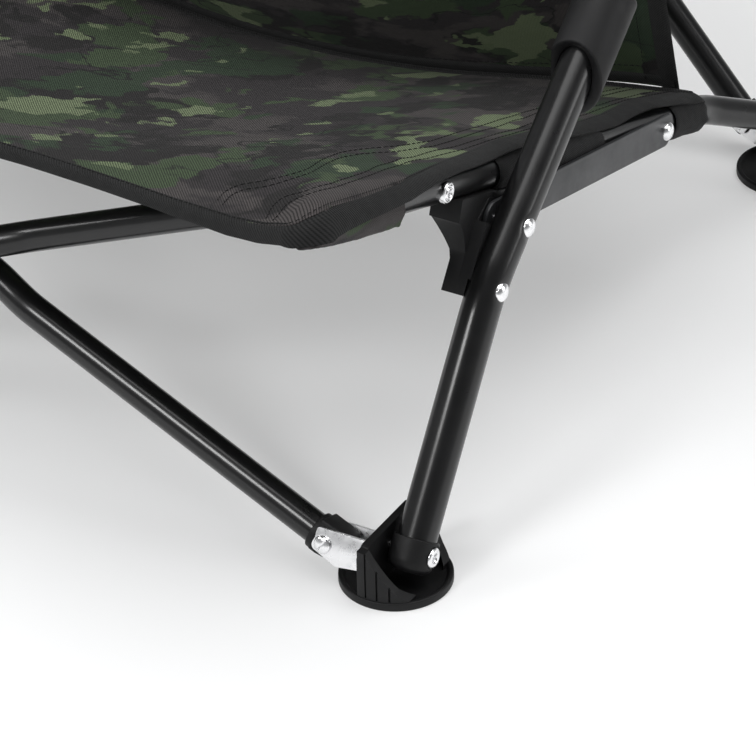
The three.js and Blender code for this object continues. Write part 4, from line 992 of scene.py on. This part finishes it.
# Along the front edge, by the distance from the middle: the hang of the tape, the drop of the
# cloth and how far behind the edge the drop reaches
FRONT_DOWN = [0, 186, 221, 249, 270, 277], [8.0, 8.0, 9.2, 10.2, 11.2, 11.6]
DROP_X = [0, 60, 100, 150, 200, 240, 262, 275, 285, 291, 297]
DROP = DROP_X, [23, 22.4, 21.8, 21.4, 21.2, 19.6, 17.0, 13.2, 9.4, 8.6, 8.0]
REACH = [0, 200, 240, 262, 274, 285, 297], [75, 70, 52, 30, 15, 10, 10]


def bowl(x, half):
    return np.clip(1 - (np.asarray(x, float) / half) ** 2, 0, None)


def scooped(ax):
    """Where the front edge would run without its rounded corners."""
    return SEAT_FRONT + SCOOP * bowl(ax, RAIL_X)


CORNER_X = SEAT_EDGE_X - CORNER_R
CORNER_S = float(scooped(CORNER_X)) + CORNER_R


def front_edge(ax):
    ax = np.asarray(ax, float)
    arc = CORNER_S - np.sqrt(np.clip(CORNER_R**2 - (ax - CORNER_X) ** 2, 0, None))
    return np.where(ax > CORNER_X, arc, scooped(ax))


def seat_height(x, s):
    x, s = np.asarray(x, float), np.asarray(s, float)
    ax = np.abs(x)
    body = 32 * bowl(ax, RAIL_X) ** 1.5
    w = np.exp(-(np.clip(s - scooped(ax), 0, None) / np.interp(ax, *REACH)) ** 2)
    over = np.where(ax > RAIL_X, TOP - np.sqrt(np.clip(TOP**2 - (ax - RAIL_X) ** 2, 9, None)), 0)
    lift = np.interp(s, EDGE_S, EDGE_LIFT) * np.exp(-((np.clip(282 - ax, 0, None)) / 22) ** 2)
    return TOP - body - (np.interp(ax, *DROP) - body) * w - over * (1 - 0.6 * w) + lift


def fold_noise(x, s, scale, seed):
    pairs = zip(np.ravel(x), np.ravel(s))
    out = [noise.noise(Vector((a / scale + seed, b / scale - seed, seed * 0.37))) for a, b in pairs]
    return np.reshape(out, np.shape(x))


def seat_wrinkle(x, s):
    """Slow waves in the cloth and tight puckers beside the sewn rows."""
    ax = np.abs(x)
    calm = np.clip((286 - ax) / 20, 0, 1)
    slow = fold_noise(x, s * 0.45, 70, 3.7) * 1.5 + fold_noise(x * 0.5, s, 34, 9.1) * 0.5
    pull = np.exp(-((ax - 262) / 20) ** 2) * np.sin(s / 7.5 + 2.2 * np.sin(s / 31)) * 0.32
    return (slow + pull) * calm


def seat_point(x, s, lift=0.0):
    h = seat_height(x, s) + seat_wrinkle(x, s) + lift
    x, s, h = np.broadcast_arrays(np.asarray(x, float), s, h)
    y, z = (rail_eyelet[i] + s * rail_dir[i] + h * rail_up[i] for i in (0, 1))
    return np.stack([x, y, z], axis=-1)


def on_seat(x, s, lift):
    return seat_point(vec(x), vec(s), lift)[0]


# A cloth shape is a shape with the flat place of each vertex, in metres
def grid_shape(points, thickness, flat):
    """A two-sided sheet from a grid of points."""
    rows, cols = points.shape[:2]
    n = np.cross(np.gradient(points, axis=1), np.gradient(points, axis=0))
    n /= np.linalg.norm(n, axis=2, keepdims=True) + 1e-12
    top, low = points.reshape(-1, 3), (points - n * thickness).reshape(-1, 3)
    count = rows * cols
    faces = []
    for a, b, c, d in grid_faces(rows, cols):
        faces += [[a, b, c, d], [count + a, count + d, count + c, count + b]]
    rim = list(range(cols)) + [j * cols + cols - 1 for j in range(1, rows)]
    rim += [(rows - 1) * cols + i for i in range(cols - 2, -1, -1)] + [j * cols for j in range(rows - 2, 0, -1)]
    faces += [[b, a, count + a, count + b] for a, b in zip(rim, rim[1:] + rim[:1])]
    flat = flat.reshape(-1, 3)
    return np.concatenate([top, low]), faces, np.concatenate([flat, flat])


def joined_cloth(shapes):
    verts, faces = joined(*[s[:2] for s in shapes])
    return verts, faces, np.concatenate([s[2] for s in shapes])


def cloth_piece(name, shape, mat, body, stands_for=None, angle=60, squashed=True):
    verts, faces, flats = shape
    obj = piece(name, (verts, faces), mat, body, stands_for, angle)
    layer = obj.data.attributes.new("flat", "FLOAT_VECTOR", "POINT")
    layer.data.foreach_set("vector", np.asarray(flats, np.float32).reshape(-1))
    if squashed:
        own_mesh(obj)
    return obj


def spread(count, power):
    """Values from -1 to 1, closer together near both ends."""
    u = np.linspace(-1, 1, count)
    return np.sign(u) * (1 - (1 - np.abs(u)) ** power)


SEAT_GRID, BACK_GRID = (110, 190), (190, 120)  # rows and columns
rows_at = np.linspace(0, 1, SEAT_GRID[0]) ** 1.15
half_width = np.interp(SEAT_FRONT + rows_at * (SEAT_REAR - SEAT_FRONT), EDGE_S, EDGE_X)
gx = spread(SEAT_GRID[1], 1.25)[None, :] * half_width[:, None]
first = front_edge(np.abs(gx))
gs = first + (SEAT_REAR - first) * rows_at[:, None]
flat = np.stack([gx / MM, gs / MM, np.zeros_like(gx)], axis=-1)
seat_shape = grid_shape(seat_point(gx, gs), CLOTH, flat)
seat = cloth_piece("seat_cloth", seat_shape, CAMO, "seat_rail_right", "seat_sling")


def perimeter():
    """Stations of the seat's edge from the middle of the front round to the rear, right side."""
    out = [(ax, float(front_edge(ax)), "front") for ax in np.arange(0, CORNER_X, 4.0)]
    for k in range(13):
        w = math.radians(90 * k / 12)
        out.append((CORNER_X + CORNER_R * math.sin(w), CORNER_S - CORNER_R * math.cos(w), k / 12))
    for s in np.arange(CORNER_S + 4, SEAT_REAR + 0.1, 4.0):
        out.append((float(np.interp(s, EDGE_S, EDGE_X)), float(s), "side"))
    return out


TAPE_COLS, TAPE_WIDTH = 8, 0.014  # the width in metres, as it lies flat


def tape_strip(stations, side):
    """The folded tape that hangs from the seat's edge."""
    points, flats, run = [], [], 0.0
    tuck = {0: (-3.2, 0.35), 1: (-1.2, -0.25)}
    for x, s, kind in stations:
        h = float(seat_height(x, s) + seat_wrinkle(vec(side * x), vec(s))[0])
        if kind == "front":
            out_x, out_s, out = 0.0, -1.0, 2.0
            down = float(np.interp(x, *FRONT_DOWN))
            h += 0.2
        elif kind == "side":
            out_x, out_s = 1.0, 0.0
            out = float(np.interp(s, EDGE_S, EDGE_OUT))
            down = float(np.interp(s, EDGE_S, EDGE_DOWN))
        else:
            w = math.radians(90 * kind)
            out_x, out_s = math.sin(w), -math.cos(w)
            out, down = 2.0 + 4.7 * kind, 11.6 + 1.2 * math.sin(math.pi * kind) + 5.0 * kind
        wobble = 0.5 * math.sin(run / 23.0) + 0.35 * math.sin(run / 9.1 + 1.0)
        full = 0.35 if kind == "side" and s >= 0 else 1.0
        row = []
        for k in range(TAPE_COLS):
            t = k / (TAPE_COLS - 1)
            bulge = 1.5 * math.sin(math.pi * t) ** 0.8
            in_by, down_by = tuck.get(k, (0.0, 0.0))
            o = out * t * (1.15 - 0.15 * t) + bulge * full + wobble * t * 0.5 + in_by
            d = down * t - bulge * 0.5 * (out / (out + down)) + down_by
            row.append(vec(side * (x + out_x * o), *on_rail(s + out_s * o, h + 0.95 - d)))
        if points:
            run += float(np.linalg.norm(row[0] - points[-1][0]))
        points.append(row)
        flats.append([(run / MM, t * TAPE_WIDTH, 0) for t in np.linspace(0, 1, TAPE_COLS)])
    return grid_shape(np.array(points), 1.5, np.array(flats))


stations = perimeter()
tape = joined_cloth([tape_strip(stations, side) for _, side in SIDES])
seat_tape = cloth_piece("seat_edge_tape", tape, TAPE, "seat_rail_right")


ROLL_SIDES = 11


def edge_roll(points, frames, width, thick, along=None, pitch=0.028 / ROLL_SIDES):
    """A flattened tube over an edge. Frames hold the directions of its width and its thickness."""
    if along is None:
        along = run_along(points)
    verts, flats = [], []
    for p, (a, b), run in zip(points, frames, along):
        for k in range(ROLL_SIDES + 1):
            t = 2 * math.pi * (k % ROLL_SIDES) / ROLL_SIDES
            verts.append(p + a * math.cos(t) * width / 2 + b * math.sin(t) * thick / 2)
            flats.append((run / MM, k * pitch, 0))
    return np.array(verts), grid_faces(len(points), ROLL_SIDES + 1), np.array(flats)


hem_x = np.linspace(-EDGE_X[-1], EDGE_X[-1], 120)
hem_pts = [on_seat(x, SEAT_REAR - 4.0, 0.0) for x in hem_x]
hem = edge_roll(hem_pts, [(along_rail, across_rail)] * len(hem_x), 8.8, 3.6, hem_x, 0.0016)
seat_hem = cloth_piece("seat_rear_hem", hem, TAPE, "seat_rail_right")


def stitches(line, point, pitch=4.2, length=3.1, width=0.55, lift=0.28):
    """Short raised threads along a line of surface parameters; point gives their place in space."""
    pts = np.array([point(*p) for p in line])
    total = run_along(pts)
    params = np.array(line, float)

    def at(d):
        return point(*[float(np.interp(d, total, params[:, k])) for k in (0, 1)])

    verts, faces, flats = [], [], []
    d = 0.6
    while d + length < total[-1]:
        a, b = at(d), at(d + length)
        t = unit(b - a)
        up = unit(np.cross(np.cross(t, vec(0, -0.33, 0.94)), t))
        if up[2] < 0:
            up = -up
        w = unit(np.cross(t, up))
        base = len(verts)
        for f, r in ((0.0, 0.35), (0.18, 0.9), (0.5, 1.0), (0.82, 0.9), (1.0, 0.35)):
            c = a + (b - a) * f + up * (lift * math.sin(math.pi * min(max(f, 0.08), 0.92)) - 0.05)
            for j in range(6):
                g = 2 * math.pi * j / 6
                verts.append(c + (w * math.cos(g) + up * math.sin(g)) * width / 2 * r)
                flats.append((d / MM + f * 0.003, j * 0.0003, 0))
        faces += grid_faces(5, 6, around=True, base=base)
        faces.append([base + j for j in range(5, -1, -1)])
        faces.append([base + 24 + j for j in range(6)])
        d += pitch
    return np.array(verts), faces, np.array(flats)


# The two double rows beside each rail, as (s, distance from the middle), from the photo
SEAT_ROWS = [
    [
        (-107, 217), (-91, 211.6), (-78, 212), (-70, 222), (-61, 229), (-46, 234), (-25, 229), (-15, 227), (8, 224),
        (29, 230), (46, 239), (72, 245), (103, 243), (143, 241), (173, 240), (224, 238), (280, 240), (336, 243),
    ],
    [
        (-113, 223.6), (-96, 218.2), (-84, 219), (-79, 229), (-69, 234.8), (-53, 240), (-27, 235.4), (-6, 232.5),
        (14, 238), (31, 247), (58, 254), (86, 253.5), (125, 250.8), (157, 249.2), (206, 246), (270, 247), (336, 250),
    ],
    [
        (-125, 256.7), (-110, 250.5), (-98, 248.6), (-94, 251), (-97, 262.0), (-82, 267.1), (-48, 264.5), (-33, 264),
        (-15, 260), (1, 260.6), (31, 260.4), (49, 261.5), (68, 264), (103, 264), (133, 264), (163, 261), (230, 262),
        (336, 264),
    ],
    [
        (-129, 262.5), (-120, 261.0), (-109, 258.3), (-104, 260), (-109, 271.2), (-86, 273.8), (-61, 272),
        (-26, 269.0), (-7, 267.7), (17, 267.6), (36, 269.6), (57, 271.5), (85, 272.4), (117, 272.7), (144, 270.2),
        (230, 270), (336, 271),
    ],
]


def dense_row(row):
    """The row at even steps, with its corners eased."""
    row = np.array(row, float)
    t = run_along(row)
    fine = np.arange(0, t[-1], 2.5)
    s, x = (np.interp(fine, t, row[:, k]) for k in (0, 1))
    for _ in range(3):
        for q in (s, x):
            q[1:-1] = (q[:-2] + 2 * q[1:-1] + q[2:]) / 4
    return s, x


sewn = []
for _, side in SIDES:
    for row in SEAT_ROWS:
        line = [(side * x, s) for s, x in zip(*dense_row(row)) if s > float(front_edge(x)) + 1.5]
        sewn.append(stitches(line, lambda x, s: on_seat(x, s, 0.12)))
    # The row that holds the edge tape
    line = []
    for x, s, kind in stations[::2]:
        line.append((side * x, s + 1.3) if kind == "front" else (side * (x - 1.3), s + 0.6))
    sewn.append(stitches(line, lambda x, s: on_seat(x, s, 0.75), 3.4, 2.5, 0.5, 0.25))
seat_thread = cloth_piece("seat_stitching", joined_cloth(sewn), THREAD, "seat_rail_right")


def sleeve(centre, up_dir, s0, s1, r_top, r_low, bore, seed, ragged, step=3.0, slant=0.0, side=1):
    """A sewn sleeve round a tube: slack below, puckered, with a turned-in hem at each end."""
    segments, middle = 64, (s0 + s1) / 2
    stops = [(s0 + 0.8, -1.0), (s0, -0.25)] + [(s, 0.0) for s in np.arange(s0 + 1.0, s1 - 0.9, step)]
    stops += [(s1, -0.25), (s1 - 0.8, -1.0)]
    verts, flats = [], []
    for s, tuck in stops:
        near = math.exp(-min(abs(s - s0), abs(s1 - s)) / 7.0)
        for k in range(segments + 1):
            t = 2 * math.pi * (k % segments) / segments
            slack = ((1 - math.cos(t)) / 2) ** 2.0
            r = r_top + (r_low - r_top) * slack
            q = Vector((math.cos(t) * 2.1, math.sin(t) * 2.1, s / 16.0 + seed))
            r += 0.55 * noise.noise(q) * (0.25 + slack) + 0.30 * noise.noise(q * 2.7) * (0.2 + slack)
            if slant:
                r -= 2.6 * slack * math.exp(-abs(s - s0) / 9.0)
            r += 0.45 * near * math.sin(9 * t + seed * 3) * (0.2 + slack)
            if tuck < -0.5:
                r = bore + 0.4
            elif tuck < 0:
                r -= 0.5
            end = ragged * near * noise.noise(Vector((math.cos(t) * 1.6 + seed, math.sin(t) * 1.6, seed)))
            if slant and s > middle:
                end -= slant * max(0.0, math.sin(t) * side) * near * 1.4
            at = s + (end if s > middle else -end * 0.2)
            if slant:
                at -= 25.0 * slack * math.exp(-((s - s0) / 22.0) ** 2)
            verts.append(centre(at) + r * (math.cos(t) * up_dir + math.sin(t) * X_DIR))
            flats.append((r * t / MM, s / MM, 0))
    return np.array(verts), grid_faces(len(stops), segments + 1), np.array(flats)


for word, side in SIDES:
    # Start, end, upper and lower radius, bore, seed and raggedness of the ends
    for stem, mat, form, more in (
        ("front", CAMO, (-113, -39, 10.2, 15.0, 9.0, 1.3 * side, 1.6), {"slant": 9.0, "side": side}),
        ("middle", LINING, (62, 194, 10.2, 12.2, 9.0, 4.1 * side, 1.6), {}),
        ("rear", LINING, (292, 337, 10.3, 12.4, 9.0, 7.7 * side, 2.0), {}),
    ):
        shape = sleeve(lambda s: yz(side * RAIL_X, on_rail(s)), across_rail, *form, **more)
        cloth_piece(f"seat_sleeve_{stem}_{word}", shape, mat, f"seat_rail_{word}", angle=70, squashed=False)

# The back's cloth: a runs across from -1 to 1, b from the seat's rear edge to the top
POST_TOP_OUT = LEG_R + 0.3 + 1.6
BACK_FROM, BACK_TOP = 420.0, POST_LENGTH + 5
BACK_LOW_X = 272
# The section runs from the seat to SECTION_END, with a fold between the other two stations
FOLD_START, FOLD_END, SECTION_END = 3, 8, 12


def back_row(share, b):
    """A point of the back's section for a share of the sag."""
    start = on_rail(SEAT_REAR + 0.3, TOP - 32 * share**1.5)
    lift = POST_TOP_OUT - 34 * share**1.3
    corner, end = on_post(BACK_FROM, lift), on_post(BACK_TOP, lift)
    w = 0.12 + 0.55 * share
    fold_in = corner + (start - corner) * w
    fold_out = corner + (end - corner) * (w / 2)
    r = b * SECTION_END
    if r <= FOLD_START:
        return start + (fold_in - start) * (r / FOLD_START)
    if r <= FOLD_END:
        return quadratic(fold_in, corner, fold_out, (r - FOLD_START) / (FOLD_END - FOLD_START))
    return fold_out + (end - fold_out) * ((r - FOLD_END) / (SECTION_END - FOLD_END))


def back_point(a, b, lift=0.0):
    share = float(bowl(a, 1))
    d = unit(back_row(share, min(1.0, b + 0.004)) - back_row(share, max(0.0, b - 0.004)))
    x = a * (LEG_X - (LEG_X - BACK_LOW_X) * max(0.0, 1 - b * SECTION_END / 5.5))
    calm = min(1.0, (1 - abs(a)) * 9) * min(1.0, b * 10)
    wrinkle = noise.noise(Vector((x / 80 + 5.1, b * 5.5, 0.3))) * 1.9
    wrinkle += noise.noise(Vector((x / 33, b * 13, 4.4))) * 0.55
    wrinkle += math.exp(-(((abs(a) - 0.9) / 0.06) ** 2)) * math.sin(b * 190 + 2 * math.sin(b * 41)) * 0.3
    return yz(x, back_row(share, b) + left_of(d) * (lift + wrinkle * calm))


ROWS, COLS = BACK_GRID
across = spread(COLS, 1.2)
back_grid = np.array([[back_point(a, b) for a in across] for b in np.linspace(0, 1, ROWS)])
upwards = run_along(back_grid[:, 5])
flat = np.zeros((ROWS, COLS, 3))
flat[:, :, 0] = back_grid[:, :, 0] / MM
flat[:, :, 1] = (upwards * 1.3 / MM + 0.4)[:, None]
back = cloth_piece("back_cloth", grid_shape(back_grid, CLOTH, flat), CAMO, "side_frame_right", "back_sling")

# Tape over the top edge, down the free lower sides and along the low hem
top_row = [back_point(a, 1.0) - along_post * 3.5 for a in across]
rolls = [edge_roll(top_row, [(along_post, across_post)] * COLS, 15, 3.4)]
low_stop = int(ROWS * 0.46)
for side in (0, -1):
    edge = back_grid[:, side]
    runs = [unit(edge[j + 1] - edge[max(0, j - 1)]) for j in range(low_stop)]
    inward = X_DIR * (-4.5 if side == -1 else 4.5)
    frames = [(X_DIR, unit(np.cross(X_DIR, d))) for d in runs]
    rolls.append(edge_roll([p + inward for p in edge[:low_stop]], frames, 13, 3.4))
low_dir = [unit(back_point(a, 0.02) - back_point(a, 0.0)) for a in across]
low_row = [back_point(a, 0.006) + d * 2.0 for a, d in zip(across, low_dir)]
rolls.append(edge_roll(low_row, [(d, unit(np.cross(X_DIR, d))) for d in low_dir], 9, 3.6))
back_tape = cloth_piece("back_edge_tape", joined_cloth(rolls), TAPE, "side_frame_right")

back_lines = []
for _, side in SIDES:
    for a in (0.905, 0.888):
        back_lines.append(([(side * a, b) for b in np.linspace(0.42, 0.985, 140)], 0.15))
    back_lines.append(([(side * 0.93, b) for b in np.linspace(0.01, 0.44, 90)], 1.9))
for b, lift in ((0.962, 0.15), (0.975, 0.2), (0.012, 0.15), (0.024, 0.15)):
    back_lines.append(([(a, b) for a in np.linspace(-0.94, 0.94, 170)], lift))
sewn = [stitches(line, lambda a, b: back_point(a, b, lift)) for line, lift in back_lines]
back_thread = cloth_piece("back_stitching", joined_cloth(sewn), THREAD, "side_frame_right")

for word, side in SIDES:
    # As for the seat, and the step of the first at the end
    for stem, form in (
        ("back_sleeve", (BACK_FROM, 760, 12.4, 13.4, 11.0, 2.3 * side, 1.8, 4.0)),
        ("back_sleeve_top", (799, BACK_TOP + 1, 12.4, 13.0, 4.0, 5.3 * side, 0.6)),
    ):
        shape = sleeve(lambda g: yz(side * LEG_X, on_post(g)), across_post, *form)
        cloth_piece(f"{stem}_{word}", shape, CAMO, f"side_frame_{word}", angle=70, squashed=False)

# A pale floor, in metres, a share of which shows as plain white
FLOOR_HALF, WHITE_SHARE = 40, 0.36
floor_mesh = bpy.data.meshes.new("studio_floor")
corners = rectangle(-FLOOR_HALF, -FLOOR_HALF, FLOOR_HALF, FLOOR_HALF)
floor_mesh.from_pydata([(x, y, 0) for x, y in corners], [], [(0, 1, 2, 3)])
floor = in_scene("studio_floor", floor_mesh)


def floor_inputs(tree):
    tone = tex(tree, object_coords(tree), 1.5, 2, 0.5)
    return {
        "Base Color": ramp(tree, tone, [(0.3, (0.86, 0.865, 0.87)), (0.7, (0.88, 0.885, 0.89))]),
        "Roughness": 0.75,
        "Specular IOR Level": 0.2,
    }


pale = material("pale_floor", floor_inputs)
tree = pale.node_tree
surface = next(n for n in tree.nodes if n.type == "OUTPUT_MATERIAL").inputs["Surface"]
rays = node(tree, "LightPath").outputs
seen = maths(tree, "MAXIMUM", rays["Is Camera Ray"], rays["Is Glossy Ray"])
seen = maths(tree, "MAXIMUM", seen, rays["Is Transmission Ray"])
share = maths(tree, "MULTIPLY", seen, WHITE_SHARE)
shaded, white = surface.links[0].from_socket, node(tree, "Emission", Strength=1.0).outputs[0]
feed(tree, surface, node(tree, "MixShader", share, shaded, white).outputs[0])
floor_mesh.materials.append(pale)

# A plain studio: pale walls low down, a darker ceiling above
world = bpy.context.scene.world or bpy.data.worlds.new("studio")
bpy.context.scene.world = world
world.use_nodes = True
tree = world.node_tree
tree.nodes.clear()
height = node(tree, "SeparateXYZ", node(tree, "TexCoord").outputs["Generated"]).outputs["Z"]
walls = ramp(tree, height, [(0.0, (0.40, 0.405, 0.41)), (0.35, (0.20, 0.203, 0.206)), (0.8, (0.14, 0.141, 0.143))])
plain = node(tree, "Background", walls, Strength=1.0)
node(tree, "OutputWorld", plain.outputs[0])

# Place, aim, width, height and watts
for name, at, toward, wide, high, watts in (
    ("overhead_softbox", (0.3, 0.1, 2.3), (0.1, 0, 0.1), 2.4, 2.2, 52),
    ("key_softbox", (-0.4, -2.24, 1.72), (0.15, 0, 0.15), 0.7, 0.6, 26),
    ("left_softbox", (-1.7, -1.3, 1.6), (0.1, 0, 0.15), 0.8, 0.5, 14),
    ("right_softbox", (2.5, 0.7, 1.2), (0.2, 0, 0.15), 1.0, 1.6, 20),
):
    data = bpy.data.lights.new(name, "AREA")
    data.shape = "RECTANGLE"
    data.size, data.size_y = wide, high
    data.energy = watts
    lamp = in_scene(name, data)
    lamp.location = at
    lamp.rotation_euler = (Vector(toward) - Vector(at)).to_track_quat("-Z", "Y").to_euler()

# The camera, as solved from the photo
TURN, TILT, ROLL = math.radians(30.65), math.radians(32.9), math.radians(-1.35)
FOCAL_PIXELS, PHOTO_PIXELS, SENSOR = 4103.0, 756, 36.0
view = vec(-math.sin(TURN) * math.cos(TILT), math.cos(TURN) * math.cos(TILT), -math.sin(TILT))
level = vec(math.cos(TURN), math.sin(TURN), 0)
upright = np.cross(level, view)
right = math.cos(ROLL) * level + math.sin(ROLL) * upright
up = -math.sin(ROLL) * level + math.cos(ROLL) * upright
eye_at = vec(1218.5714, -1566.1958 + SHIFT_Y, 1305.4649) / MM
data = bpy.data.cameras.new("photo_camera")
data.sensor_width = SENSOR
data.sensor_fit = "HORIZONTAL"
data.lens = SENSOR * FOCAL_PIXELS / PHOTO_PIXELS
data.shift_y = -1 / PHOTO_PIXELS
data.clip_end = 50
camera = in_scene("photo_camera", data)
camera.matrix_world = Matrix([*zip(right, up, -view, eye_at), (0, 0, 0, 1)])
bpy.context.scene.camera = camera
bpy.context.scene.view_settings.view_transform = "Standard"
